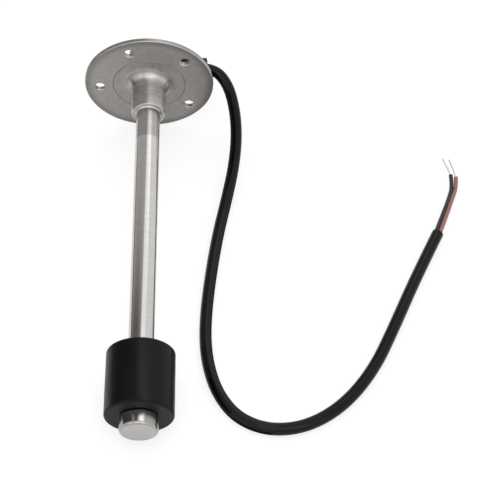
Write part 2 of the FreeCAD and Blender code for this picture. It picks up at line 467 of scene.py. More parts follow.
class Nodes:
    """Node tree, with short calls for the nodes that finishes and the studio share.

    Attributes:
        tree: the node tree.
    """

    def __init__(self, tree: bpy.types.NodeTree) -> None:
        """Keep the node tree."""
        self.tree = tree

    def feed(self, socket: Socket, value: object) -> None:
        """Set a socket, or link another socket to it.

        Args:
            socket: the socket that is fed.
            value: a value, or the socket of one.
        """
        if isinstance(value, Socket):
            self.tree.links.new(value, socket)
        else:
            socket.default_value = value

    def add(self, kind: str, inputs: dict, **settings: object) -> bpy.types.Node:
        """Add a node.

        Args:
            kind: the node's type.
            inputs: values or sockets by input name or number.
            settings: the node's own properties.

        Returns:
            The node.
        """
        node = self.tree.nodes.new(kind)
        for name, value in settings.items():
            setattr(node, name, value)
        for name, value in inputs.items():
            self.feed(node.inputs[name], value)
        return node

    def sum(self, how: str, first: Socket, second: object) -> Socket:
        """Two values joined by an operation."""
        return self.add("ShaderNodeMath", {0: first, 1: second}, operation=how).outputs["Value"]

    def plus(self, first: Socket, second: object) -> Socket:
        """Two values added."""
        return self.sum("ADD", first, second)

    def less(self, first: Socket, second: object) -> Socket:
        """One value less another."""
        return self.sum("SUBTRACT", first, second)

    def times(self, first: Socket, second: object) -> Socket:
        """Two values multiplied."""
        return self.sum("MULTIPLY", first, second)

    def either(self, first: Socket, second: object) -> Socket:
        """The larger of two values."""
        return self.sum("MAXIMUM", first, second)

    def fit(self, value: Socket, start: Span, end: Span = SHARE) -> Socket:
        """Ease a value from one range to another.

        Args:
            value: the value.
            start: the range that it comes from.
            end: the range that it is brought to.

        Returns:
            The eased value.
        """
        inputs = {"Value": value, "From Min": start[0], "From Max": start[1]}
        inputs |= {"To Min": end[0], "To Max": end[1]}
        return self.add("ShaderNodeMapRange", inputs, interpolation_type="SMOOTHSTEP").outputs["Result"]


class Shader(Nodes):
    """Node tree of one material.

    Attributes:
        tree: the node tree.
        material: the material.
        surface: its surface shader.
    """

    def __init__(self, name: str) -> None:
        """Start a material.

        Args:
            name: the material's name.
        """
        self.material = bpy.data.materials.new(name)
        self.material.use_nodes = True
        super().__init__(self.material.node_tree)
        self.surface = self.tree.nodes["Principled BSDF"]

    def dress(self, **values: object) -> None:
        """Feed the surface shader.

        Args:
            values: values or sockets by socket name, in lower case with _ for spaces.
        """
        sockets = {socket.name.lower().replace(" ", "_"): socket for socket in self.surface.inputs}
        for name, value in values.items():
            self.feed(sockets[name], value)

    def bare(self) -> None:
        """Take the surface shader away, for a glowing sheet that isn't sampled as a lamp."""
        self.material.cycles.emission_sampling = "NONE"
        self.tree.nodes.remove(self.surface)

    def show(self, node: bpy.types.Node) -> None:
        """Make a node's shader the surface."""
        self.feed(self.tree.nodes["Material Output"].inputs["Surface"], node.outputs[0])

    def millimetres(self) -> Socket:
        """Place on the piece in its own axes, in millimetres."""
        return self.scaled(self.add("ShaderNodeTexCoord", {}).outputs["Object"], 1 / MM)

    def scaled(self, vector: Socket, factor: float) -> Socket:
        """Vector times a number."""
        inputs = {0: vector, "Scale": factor}
        return self.add("ShaderNodeVectorMath", inputs, operation="SCALE").outputs["Vector"]

    def stretched(self, vector: Socket, factors: Place) -> Socket:
        """Vector times a factor along each axis."""
        inputs = {0: vector, 1: factors}
        return self.add("ShaderNodeVectorMath", inputs, operation="MULTIPLY").outputs["Vector"]

    def axis(self, vector: Socket, name: str) -> Socket:
        """One coordinate of a vector."""
        return self.add("ShaderNodeSeparateXYZ", {"Vector": vector}).outputs[name]

    def radius(self, place: Socket) -> Socket:
        """Distance from the Y axis."""
        flat = self.stretched(place, (1.0, 0.0, 1.0))
        return self.add("ShaderNodeVectorMath", {0: flat}, operation="LENGTH").outputs["Value"]

    def facing(self) -> Socket:
        """How squarely the surface faces along the Y axis, from 0 on a turned side to 1 on an end."""
        normal = self.add("ShaderNodeTexCoord", {}).outputs["Normal"]
        return self.add("ShaderNodeMath", {0: self.axis(normal, "Y")}, operation="ABSOLUTE").outputs["Value"]

    def noise(self, vector: Socket, scale: float, detail: Detail = Detail.SOFT) -> Socket:
        """Cloudy noise from 0 to 1."""
        inputs = {"Vector": vector, "Scale": scale, "Detail": detail.value}
        return self.add("ShaderNodeTexNoise", inputs).outputs["Fac"]

    def rings(self, place: Socket, marks: float, drift: float, detail: Detail) -> Socket:
        """Make noise that runs in rings about the Y axis.

        Args:
            place: the place in millimetres.
            marks: how many rings there are to a millimetre.
            drift: how fast a ring changes along itself, to a millimetre.
            detail: how finely the rings break up.

        Returns:
            The noise, from 0 to 1.
        """
        inputs = {"X": self.radius(place), "Y": self.axis(place, "Y")}
        across = self.scaled(self.add("ShaderNodeCombineXYZ", inputs).outputs["Vector"], marks)
        around = self.scaled(place, drift)
        both = self.add("ShaderNodeVectorMath", {0: across, 1: around}, operation="ADD")
        return self.noise(both.outputs["Vector"], 1.0, detail)

    def tones(self, factor: Socket, first: Colour | Socket, second: Colour | Socket) -> Socket:
        """Mix two tones.

        Args:
            factor: 0 for the first tone, 1 for the second.
            first: a colour, or the socket of one.
            second: a colour, or the socket of one.

        Returns:
            The colour.
        """
        node = self.add("ShaderNodeMix", {}, data_type="RGBA")
        sockets = {socket.identifier: socket for socket in node.inputs}
        self.feed(sockets["Factor_Float"], factor)
        for name, tone in (("A_Color", first), ("B_Color", second)):
            self.feed(sockets[name], (*tone, 1.0) if isinstance(tone, tuple) else tone)
        return next(socket for socket in node.outputs if socket.identifier == "Result_Color")

    def drawn_out(self, stretch: float) -> None:
        """Draw reflections out along the Y axis, across the marks of a turned side.

        Args:
            stretch: how far they are drawn out, from 0 to 1.
        """
        quarter_turn = 0.25
        tangent = self.add("ShaderNodeTangent", {}, direction_type="RADIAL", axis="Y").outputs["Tangent"]
        self.dress(anisotropic=stretch, anisotropic_rotation=quarter_turn, tangent=tangent)

    def bump(self, height: Socket, depth: float, under: Socket | None = None) -> Socket:
        """Make relief from a height.

        Args:
            height: the height from 0 to 1.
            depth: how deep the relief is, in millimetres.
            under: relief that this one lies on.

        Returns:
            The surface's normal.
        """
        inputs: dict = {"Height": height, "Distance": depth * MM, "Strength": 1.0}
        if under:
            inputs["Normal"] = under
        return self.add("ShaderNodeBump", inputs).outputs["Normal"]


class Finish:
    """Finish of a surface. The material is made once, when a piece first needs it."""

    name: str
    made: ClassVar[dict[str, bpy.types.Material]] = {}

    def material(self) -> bpy.types.Material:
        """Give the finish's material.

        Returns:
            The material.
        """
        if self.name not in self.made:
            shader = Shader(self.name)
            self.make(shader, shader.millimetres())
            self.made[self.name] = shader.material
        return self.made[self.name]

    def make(self, shader: Shader, place: Socket) -> None:
        """Make the material's nodes.

        Args:
            shader: the material's node tree.
            place: the place on the piece, in millimetres.
        """
        raise NotImplementedError


@dataclass(frozen=True)
class SteelFinish(Finish):
    """Plain metal with tool marks.

    Attributes:
        name: the material's name.
        light: its lighter tone.
        dark: its darker tone.
        roughness: its roughness where it is smoothest and where it is roughest.
        grain: how its tool marks run.
        marks: tool marks to a millimetre.
        depth: how deep the marks are.
        stretch: how far reflections are drawn out across the marks, from 0 to 1.
        drift: how fast a turned mark changes along itself, to a millimetre.
        mark_share: how strongly the marks show in the tone.
        clouds: tone clouds to a millimetre.
        mottle: where the mottling is dark, and where it is light.
        smears: changes of roughness to a millimetre.
    """

    name: str
    light: Colour
    dark: Colour
    roughness: Span
    grain: Grain = Grain.TURNED
    marks: float = 5.0
    depth: float = 0.004
    stretch: float = 0.0
    drift: float = 0.08
    mark_share: float = 0.35
    clouds: float = 0.12
    mottle: Span = (0.4, 0.95)
    smears: float = 0.5

    def make(self, shader: Shader, place: Socket) -> None:
        """Make the material's nodes.

        Args:
            shader: the material's node tree.
            place: the place on the piece, in millimetres.
        """
        if self.grain is Grain.TURNED:
            marks = shader.rings(place, self.marks, self.drift, Detail.EVEN)
        else:
            marks = shader.noise(place, self.marks, Detail.EVEN)
        clouds = shader.noise(place, self.clouds, Detail.FINE)
        mottle = shader.plus(clouds, shader.times(marks, self.mark_share))
        smears = shader.noise(place, self.smears, Detail.FINEST)
        shader.dress(
            metallic=1.0,
            base_color=shader.tones(shader.fit(mottle, self.mottle), self.dark, self.light),
            roughness=shader.fit(smears, CLOUDS, self.roughness),
            normal=shader.bump(marks, self.depth),
        )
        if self.stretch:
            shader.drawn_out(self.stretch)


@dataclass(frozen=True)
class FlangeFinish(Finish):
    """Flange steel: dull pickled faces, with their tones also lowered as painted shade of the shaded surface
    that they mirror, darker towards the rim, cut sides, and edges with a painted highlight.

    Attributes:
        name: the material's name.
        light: the faces' lighter tone.
        dark: the faces' darker tone.
        rim: tone of the faces at the rim.
        cut: tone of the rim's side and of the holes.
        worn: lighter tone painted on the edges between faces and cut sides, as a highlight of their rounding.
        rim_radii: where the faces start to darken, and where they are darkest.
        face_roughness: the faces' roughness where they are smoothest and where they are roughest.
        cut_roughness: roughness of the cut sides and of the edges with the painted highlight.
        depth: how deep the relief of the faces is.
        blotches: pickling blotches to a millimetre.
        grains: fine grains to a millimetre.
        marks: faint turning rings to a millimetre.
        drift: how fast a ring changes along itself, to a millimetre.
        fine_share: how strongly grains and rings show in the tone.
        mottle: where the mottling is dark, and where it is light.
        edge_facing: how squarely the surface faces where the painted edge highlight starts, and where it is
            full.
        cut_facing: how squarely it faces where the cut sides start, and where they are reached.
    """

    name: str
    light: Colour
    dark: Colour
    rim: Colour
    cut: Colour
    worn: Colour
    rim_radii: Span
    face_roughness: Span
    cut_roughness: float
    depth: float = 0.004
    blotches: float = 0.28
    grains: float = 2.4
    marks: float = 1.1
    drift: float = 0.03
    fine_share: float = 0.3
    mottle: Span = (0.55, 1.05)
    edge_facing: Span = (0.97, 0.8)
    cut_facing: Span = (0.5, 0.15)

    def make(self, shader: Shader, place: Socket) -> None:
        """Make the material's nodes.

        Args:
            shader: the material's node tree.
            place: the place on the piece, in millimetres.
        """
        blotches = shader.noise(place, self.blotches, Detail.FINEST)
        grain = shader.noise(place, self.grains)
        rings = shader.rings(place, self.marks, self.drift, Detail.EVEN)
        mottle = shader.plus(blotches, shader.times(shader.plus(grain, rings), self.fine_share))
        tone = shader.tones(shader.fit(mottle, self.mottle), self.dark, self.light)
        tone = shader.tones(shader.fit(shader.radius(place), self.rim_radii), tone, self.rim)
        facing = shader.facing()
        # Edges between faces and cut sides: a lighter tone as a painted highlight of their rounding, and a
        # smoother roughness.
        edge = shader.fit(facing, self.edge_facing)
        tone = shader.tones(edge, tone, self.worn)
        tone = shader.tones(shader.fit(facing, self.cut_facing), tone, self.cut)
        rough = shader.fit(blotches, CLOUDS, self.face_roughness)
        smoother = shader.times(shader.less(rough, self.cut_roughness), edge)
        shader.dress(
            metallic=1.0,
            base_color=tone,
            roughness=shader.less(rough, smoother),
            normal=shader.bump(shader.plus(grain, blotches), self.depth),
        )


@dataclass(frozen=True)
class CollarFinish(Finish):
    """Collar steel: turned barrel with fine rings, a fillet that dulls outwards, and a brim like the flange.
    The barrel's and fillet's lighter tones are partly their turned finish and partly painted highlight.

    Attributes:
        name: the material's name.
        barrel: tone of the barrel.
        fillet: tone of the fillet, raised above the barrel's as a painted highlight where its highlight arc
            falls.
        brim: tone of the brim.
        barrel_radii: where the barrel's tone ends, and where the fillet's is reached.
        brim_radii: where the fillet's tone ends, and where the brim's is reached.
        roughness: roughness of the barrel and of the brim.
        ring_tone: tone of the turning rings.
        ring_shade: how strongly the rings show, from 0 to 1.
        marks: turning rings to a millimetre.
        drift: how fast a ring changes along itself, to a millimetre.
        depth: how deep the rings are.
        stretch: how far reflections are drawn out across the rings, from 0 to 1.
        clouds: clouds to a millimetre, which break the rings up.
        cloud_share: how strongly the clouds break them up.
        mottle: where no ring shows, and where the rings are darkest.
        wander: how far the roughness wanders.
    """

    name: str
    barrel: Colour
    fillet: Colour
    brim: Colour
    barrel_radii: Span
    brim_radii: Span
    roughness: Span
    ring_tone: Colour = (0.06, 0.057, 0.054)
    ring_shade: float = 0.3
    marks: float = 1.3
    drift: float = 0.04
    depth: float = 0.004
    stretch: float = 0.8
    clouds: float = 0.3
    cloud_share: float = 0.6
    mottle: Span = (1.05, 0.55)
    wander: float = 0.12

    def make(self, shader: Shader, place: Socket) -> None:
        """Make the material's nodes.

        Args:
            shader: the material's node tree.
            place: the place on the piece, in millimetres.
        """
        radius = shader.radius(place)
        dullness = shader.fit(radius, self.brim_radii)
        tone = shader.tones(shader.fit(radius, self.barrel_radii), self.barrel, self.fillet)
        tone = shader.tones(dullness, tone, self.brim)
        rings = shader.rings(place, self.marks, self.drift, Detail.FINE)
        clouds = shader.noise(place, self.clouds, Detail.FINEST)
        mottle = shader.plus(rings, shader.times(clouds, self.cloud_share))
        shade = shader.fit(mottle, self.mottle, (0.0, self.ring_shade))
        wander = shader.times(shader.less(clouds, MIDDLE), self.wander)
        shader.dress(
            metallic=1.0,
            base_color=shader.tones(shade, tone, self.ring_tone),
            roughness=shader.plus(shader.fit(dullness, SHARE, self.roughness), wander),
            normal=shader.bump(rings, self.depth),
        )
        shader.drawn_out(self.stretch)


@dataclass(frozen=True)
class StemFinish(Finish):
    """Stem steel: ground round the tube, and polished on the stretch below the collar.

    Attributes:
        name: the material's name.
        light: its lighter tone.
        dark: its darker tone.
        polished: tone of the polished stretch, set below the ground tube's partly as painted shade of the dim
            surroundings that it mirrors.
        polished_end: how far the polished stretch goes down from the mounting face.
        roughness: roughness of the polished stretch and of the ground tube.
        polished_fade: how far the change runs to each side of the polished stretch's end.
        polished_dark: the polished stretch's darker tone, as a share of its own.
        marks: grinding marks to a millimetre.
        drift: how fast a mark changes along itself, to a millimetre.
        depth: how deep the marks are.
        stretch: how far reflections are drawn out along the tube, from 0 to 1.
        streaks: streaks to a millimetre along each axis.
        streak_share: how strongly the streaks show in the tone.
        mottle: where the mottling is dark, and where it is light.
        smears: changes of roughness to a millimetre.
        wander: how far the roughness wanders.
    """

    name: str
    light: Colour
    dark: Colour
    polished: Colour
    polished_end: float
    roughness: Span
    polished_fade: float = 0.35
    polished_dark: float = 0.86
    marks: float = 1.6
    drift: float = 0.06
    depth: float = 0.001
    stretch: float = 0.6
    streaks: Place = (0.9, 0.02, 0.9)
    streak_share: float = 0.7
    mottle: Span = (0.6, 1.1)
    smears: float = 0.35
    wander: float = 0.06

    def make(self, shader: Shader, place: Socket) -> None:
        """Make the material's nodes.

        Args:
            shader: the material's node tree.
            place: the place on the piece, in millimetres.
        """
        change = (self.polished_fade - self.polished_end, -self.polished_fade - self.polished_end)
        ground = shader.fit(shader.axis(place, "Y"), change)
        rings = shader.rings(place, self.marks, self.drift, Detail.FINE)
        streaks = shader.noise(shader.stretched(place, self.streaks), 1.0, Detail.FINE)
        mottle = shader.fit(shader.plus(shader.times(streaks, self.streak_share), rings), self.mottle)
        darker = tuple(self.polished_dark * share for share in self.polished)
        smooth = shader.tones(mottle, darker, self.polished)
        wander = shader.times(shader.noise(place, self.smears, Detail.FINE), self.wander)
        shader.dress(
            metallic=1.0,
            base_color=shader.tones(ground, smooth, shader.tones(mottle, self.dark, self.light)),
            roughness=shader.plus(shader.fit(ground, SHARE, self.roughness), wander),
            normal=shader.bump(rings, self.depth),
        )
        shader.drawn_out(self.stretch)


@dataclass(frozen=True)
class CapFinish(Finish):
    """Cap steel: fine turned side, and a lighter end face with turning rings.

    Attributes:
        name: the material's name.
        side: tone of the side.
        face: lighter tone of the end face.
        ring: darker tone of the end face's rings.
        roughness: roughness of the side and of the end face.
        marks: turning rings to a millimetre.
        drift: how fast a ring changes along itself, to a millimetre.
        depth: how deep the rings are.
        stretch: how far reflections are drawn out across the turning marks, from 0 to 1.
        face_facing: how squarely the surface faces where the face's tone starts, and where it is reached.
        rough_facing: how squarely it faces where the face's roughness starts, and where it is reached.
        clouds: clouds to a millimetre, which break the rings up.
        mottle: where the mottling is dark, and where it is light.
        wander: how far the roughness wanders.
    """

    name: str
    side: Colour
    face: Colour
    ring: Colour
    roughness: Span
    marks: float = 1.4
    drift: float = 0.03
    depth: float = 0.001
    stretch: float = 0.8
    face_facing: Span = (0.8, 0.98)
    rough_facing: Span = (0.9, 0.99)
    clouds: float = 0.4
    mottle: Span = (0.7, 1.3)
    wander: float = 0.06

    def make(self, shader: Shader, place: Socket) -> None:
        """Make the material's nodes.

        Args:
            shader: the material's node tree.
            place: the place on the piece, in millimetres.
        """
        facing = shader.facing()
        rings = shader.rings(place, self.marks, self.drift, Detail.FINE)
        clouds = shader.noise(place, self.clouds, Detail.FINE)
        mottle = shader.fit(shader.plus(rings, clouds), self.mottle)
        face = shader.tones(mottle, self.ring, self.face)
        rough = shader.fit(shader.fit(facing, self.rough_facing), SHARE, self.roughness)
        shader.dress(
            metallic=1.0,
            base_color=shader.tones(shader.fit(facing, self.face_facing), self.side, face),
            roughness=shader.plus(rough, shader.times(clouds, self.wander)),
            normal=shader.bump(rings, self.depth),
        )
        shader.drawn_out(self.stretch)


@dataclass(frozen=True)
class SoftFinish(Finish):
    """Foam, rubber or plastic with a fine skin.

    Attributes:
        name: the material's name.
        light: its lighter tone.
        dark: its darker tone.
        roughness: its roughness where it is smoothest and where it is roughest.
        cells: skin cells to a millimetre.
        depth: how deep the skin's relief is.
        waves: slow unevenness to a millimetre.
        wave_depth: how deep the unevenness is.
        gloss: how strongly the skin mirrors, where 0.5 is plain plastic.
    """

    name: str
    light: Colour
    dark: Colour
    roughness: Span
    cells: float = 4.0
    depth: float = 0.01
    waves: float = 0.25
    wave_depth: float = 0.0
    gloss: float = 0.5

    def make(self, shader: Shader, place: Socket) -> None:
        """Make the material's nodes.

        Args:
            shader: the material's node tree.
            place: the place on the piece, in millimetres.
        """
        skin = shader.noise(place, self.cells, Detail.EVEN)
        waves = shader.noise(place, self.waves, Detail.EVEN)
        under = shader.bump(waves, self.wave_depth) if self.wave_depth else None
        shader.dress(
            base_color=shader.tones(shader.fit(waves, CLOUDS), self.dark, self.light),
            roughness=shader.fit(skin, CLOUDS, self.roughness),
            specular_ior_level=self.gloss,
            normal=shader.bump(skin, self.depth, under),
        )


@dataclass(frozen=True)
class GlassFinish(Finish):
    """Green sealing glass of the switches.

    Attributes:
        name: the material's name.
        tint: its colour.
        roughness: its roughness where it is smoothest and where it is roughest.
        smears: changes of roughness to a millimetre.
        clearness: how much light goes through, from 0 to 1.
        bending: how strongly it bends light.
    """

    name: str
    tint: Colour
    roughness: Span = (0.03, 0.12)
    smears: float = 1.5
    clearness: float = 0.85
    bending: float = 1.5

    def make(self, shader: Shader, place: Socket) -> None:
        """Make the material's nodes.

        Args:
            shader: the material's node tree.
            place: the place on the piece, in millimetres.
        """
        shader.dress(
            base_color=(*self.tint, 1.0),
            roughness=shader.fit(shader.noise(place, self.smears), CLOUDS, self.roughness),
            transmission_weight=self.clearness,
            ior=self.bending,
        )


# The flange's face tones are low partly for its dull finish and partly as painted shade, standing in for the
# shaded surface that the faces mirror.
FLANGE_STEEL = FlangeFinish(
    "satin_flange", light=(0.4, 0.385, 0.371), dark=(0.315, 0.303, 0.292), rim=(0.245, 0.234, 0.225),
    # The lighter edge tone is a painted highlight on the rounded edges.
    cut=(0.31, 0.299, 0.288), worn=(0.54, 0.525, 0.51), rim_radii=(29.5, 34.3), face_roughness=(0.48, 0.6),
    cut_roughness=0.3,
)
# The barrel and fillet tones stand above the flange's partly for their turned finish and partly as painted
# highlight; the fillet's is raised where its highlight arc falls.
COLLAR_STEEL = CollarFinish(
    "turned_collar", barrel=(0.61, 0.594, 0.578), fillet=(0.64, 0.622, 0.606), brim=(0.47, 0.454, 0.44),
    barrel_radii=(9.3, 10.2), brim_radii=(10.2, 13.1), roughness=(0.34, 0.54), stretch=0.93,
)
HEAD_STEEL = SteelFinish(
    "drawn_head", (0.36, 0.347, 0.335), (0.29, 0.278, 0.267), (0.4, 0.5), marks=4.0, depth=0.003, stretch=0.3,
)
WELD_STEEL = SteelFinish(
    "weld_bead", (0.45, 0.425, 0.39), (0.3, 0.27, 0.24), (0.3, 0.45), Grain.PICKLED, marks=2.0, depth=0.01,
)
CAP_STEEL = CapFinish(
    "turned_cap", side=(0.36, 0.35, 0.34), face=(0.52, 0.505, 0.493), ring=(0.48, 0.466, 0.454),
    roughness=(0.16, 0.34),
)
# The polished stretch's lower tone is partly painted shade, standing in for the dim surroundings that its
# sharper reflection shows.
STEM_STEEL = StemFinish(
    "ground_stem", (0.61, 0.597, 0.583), (0.55, 0.537, 0.523), polished=(0.43, 0.418, 0.406),
    polished_end=39.4, roughness=(0.1, 0.15),
)
TINNED_COPPER = SteelFinish(
    "tinned_copper", (0.78, 0.77, 0.75), (0.62, 0.6, 0.57), (0.25, 0.4), Grain.PICKLED, marks=3.0,
)
FLOAT_FOAM = SoftFinish(
    "foam_skin", (0.004, 0.004, 0.004), (0.003, 0.003, 0.003), (0.32, 0.4), cells=5.0, depth=0.008,
    wave_depth=0.04, gloss=0.14,
)
GLAND_PLASTIC = SoftFinish(
    "moulded_gland", (0.006, 0.006, 0.006), (0.004, 0.004, 0.004), (0.35, 0.5), cells=6.0, depth=0.008,
    gloss=0.25,
)
JACKET_RUBBER = SoftFinish(
    "jacket_rubber", (0.003, 0.003, 0.003), (0.002, 0.002, 0.002), (0.12, 0.16), cells=3.0, depth=0.004,
    wave_depth=0.02, gloss=0.19,
)
NAVY_INSULATION = SoftFinish(
    "navy_insulation", (0.014, 0.019, 0.035), (0.01, 0.013, 0.025), (0.34, 0.44), cells=3.0, depth=0.004,
    gloss=0.4,
)
BROWN_INSULATION = SoftFinish(
    "brown_insulation", (0.32, 0.137, 0.1), (0.275, 0.115, 0.083), (0.36, 0.46), cells=3.0, depth=0.004,
)
SEAL_RUBBER = SoftFinish("seal_ring", (0.02, 0.02, 0.02), (0.012, 0.012, 0.012), (0.6, 0.75))
SINTERED_FERRITE = SoftFinish("sintered_ferrite", (0.07, 0.07, 0.075), (0.045, 0.045, 0.05), (0.5, 0.65))
SOLDER_RESIST = SoftFinish("solder_resist", (0.03, 0.16, 0.06), (0.02, 0.11, 0.04), (0.25, 0.4), depth=0.004)
CHIP_CERAMIC = SoftFinish("chip_ceramic", (0.03, 0.03, 0.034), (0.02, 0.02, 0.023), (0.4, 0.55), depth=0.004)
SWITCH_GLASS = GlassFinish("sealing_glass", (0.7, 0.88, 0.76))


@dataclass
class Flange:
    """Bolt-on disc with a recess for the collar's brim and five bolt holes.

    Attributes:
        edge_round: rounding of the rim's edges.
        recess_break: rounding of the recess's mouth.
        hole_chamfer: chamfer at both ends of a bolt hole.
        hole_segments: steps round a bolt hole.
    """

    edge_round: float = 0.5
    recess_break: float = 0.12
    hole_chamfer: float = 0.25
    hole_segments: int = 64

    def build(self, stem: StemAxes) -> list[Piece]:
        """Make the disc and drill it.

        Args:
            stem: the stem's axes.

        Returns:
            The disc.
        """
        thick = stem.reach("mounting_flange", Axis.ALONG)[1]
        seat, rim = stem.radii("mounting_flange", 0.0, thick)
        recess = stem.radii("mounting_flange", -NEAR, NEAR)[0]
        depth = stem.reach("hub_collar", Axis.ALONG)[1]
        outline = Outline((
            Corner(seat, depth),
            Corner(recess, depth),
            Corner(recess, 0.0, self.recess_break),
            Corner(rim, 0.0, self.edge_round),
            Corner(rim, thick, self.edge_round),
            Corner(seat, thick),
        ))
        disc = Maker.turned("flange_disc", outline, stem.matrix)
        holes = [mount for mount in stem.record["mounts"] if mount["kind"] == "bore"]
        Maker.work(disc, [self._drill(stem, hole, thick) for hole in holes], Cut.AWAY)
        return [Maker.fix(disc, FLANGE_STEEL, Body.SENDER, "flange_steel", "mounting_flange")]

    def _drill(self, stem: StemAxes, mount: dict, thick: float) -> Piece:
        """Make the drill of a bolt hole, wider at both faces for the chamfers.

        Args:
            stem: the stem's axes.
            mount: the record's bore.
            thick: the disc's thickness.

        Returns:
            The drill.
        """
        hole = mount["dims"]["r_mm"]
        wide = hole + self.hole_chamfer + PAST
        outline = Outline((
            Corner(0.0, -PAST),
            Corner(wide, -PAST),
            Corner(hole, self.hole_chamfer),
            Corner(hole, thick - self.hole_chamfer),
            Corner(wide, thick + PAST),
            Corner(0.0, thick + PAST),
        ))
        centre = stem.local(mount["pos_m"])
        axes = stem.matrix @ Matrix.Translation(Vector((centre.x, 0.0, centre.z)) * MM)
        return Maker.turned(mount["name"], outline, axes, self.hole_segments)


@dataclass
class HubCollar:
    """Collar with a flush brim, a large fillet, a rounded lip and a bead against the tube.

    Attributes:
        brim_break: rounding of the brim's edge.
        fillet: fillet between the brim and the barrel.
        turned_share: share of the fillet that is turned like the barrel; the rest is like the flange.
        lip_land: width of the rounded lip.
        lip_round: rounding of the lip.
        groove: depth of the groove inside the lip.
        groove_round: rounding of the groove's corners.
        bead: leg of the bead against the tube.
        bead_land: flat between the groove and the bead.
        bead_foot: rounding of the bead's outer foot.
        bead_crown: rounding of the bead's top.
        bead_edge: how far the bead's top stays clear of the tube.
        arc_steps: steps round a rounded corner.
    """

    brim_break: float = 0.15
    fillet: float = 6.5
    turned_share: float = 0.6
    lip_land: float = 1.0
    lip_round: float = 0.95
    groove: float = 0.25
    groove_round: float = 0.12
    bead: float = 0.7
    bead_land: float = 0.1
    bead_foot: float = 0.05
    bead_crown: float = 0.3
    bead_edge: float = 0.12
    arc_steps: int = 16

    def build(self, stem: StemAxes) -> list[Piece]:
        """Turn the collar, and finish its brim like the flange.

        Args:
            stem: the stem's axes.

        Returns:
            The collar.
        """
        low, top, seat, brim = stem.turned_size("hub_collar")
        lip = low + self.bead
        barrel = stem.radii("hub_collar", lip, lip / 2)[1]
        turned = barrel + self.turned_share * self.fillet
        groove_in = seat + self.bead + self.bead_land
        groove_out = barrel - self.lip_land
        outline = Outline((
            Corner(seat, top),
            Corner(brim, top),
            Corner(brim, 0.0, self.brim_break),
            Corner(barrel, 0.0, self.fillet),
            Corner(barrel, lip, self.lip_round),
            Corner(groove_out, lip),
            Corner(groove_out - self.groove, lip + self.groove, self.groove_round),
            Corner(groove_in + self.groove, lip + self.groove, self.groove_round),
            Corner(groove_in, lip, self.bead_foot),
            Corner(seat + self.bead_edge, low, self.bead_crown),
            Corner(seat, low + self.bead_edge),
        ), arc_steps=self.arc_steps)
        collar = Maker.turned("hub_collar_turned", outline, stem.matrix)
        Maker.fix(collar, COLLAR_STEEL, Body.SENDER, "collar_steel", "hub_collar")
        collar.data.materials.append(FLANGE_STEEL.material())
        for face in collar.data.polygons:
            face.material_index = int(math.hypot(face.center.x, face.center.z) > turned * MM)
        return [collar]


@dataclass
class Stem:
    """Tube from inside the head down to the end cap.

    Attributes:
        end_break: rounding of the tube's cut ends.
        longest: longest step along the tube.
        arc_steps: steps round a rounded corner.
    """

    end_break: float = 0.1
    longest: float = 12.0
    arc_steps: int = 3

    def build(self, stem: StemAxes) -> list[Piece]:
        """Make the tube.

        Args:
            stem: the stem's axes.

        Returns:
            The tube.
        """
        low, top, bore, outside = stem.turned_size("stem_tube")
        ring = ((bore, top), (outside, top), (outside, low), (bore, low))
        corners = tuple(Corner(radius, along, self.end_break) for radius, along in ring)
        tube = Maker.turned("stem_tube_ground", Outline(corners, self.longest, self.arc_steps), stem.matrix)
        return [Maker.fix(tube, STEM_STEEL, Body.SENDER, "stem_steel", "stem_tube")]


@dataclass
class EndCap:
    """Turned end cap with a spigot in the tube.

    Attributes:
        edge_round: rounding of the lower edge.
        face_crown: how far the end face stands past its solid.
        shoulder_break: rounding of the shoulder's edge.
        spigot: height of the spigot over the shoulder.
        spigot_break: rounding of the spigot's edge.
        spigot_top: stretch below the spigot's top on which it is measured.
        arc_steps: steps round a rounded corner.
    """

    edge_round: float = 2.0
    face_crown: float = 0.2
    shoulder_break: float = 0.3
    spigot: float = 5.0
    spigot_break: float = 0.4
    spigot_top: float = 0.1
    arc_steps: int = 12

    def build(self, stem: StemAxes) -> list[Piece]:
        """Turn the cap.

        Args:
            stem: the stem's axes.

        Returns:
            The cap.
        """
        low, top, _, outside = stem.turned_size("end_cap")
        shoulder = top - self.spigot
        spigot = stem.radii("end_cap", top - self.spigot_top, top)[1] + self.spigot_break
        outline = Outline((
            Corner(0.0, top),
            Corner(spigot, top, self.spigot_break),
            Corner(spigot, shoulder),
            Corner(outside, shoulder, self.shoulder_break),
            Corner(outside, low - self.face_crown, self.edge_round),
            Corner(0.0, low - self.face_crown),
        ), arc_steps=self.arc_steps)
        cap = Maker.turned("end_cap_turned", outline, stem.matrix)
        return [Maker.fix(cap, CAP_STEEL, Body.SENDER, "cap_steel", "end_cap")]


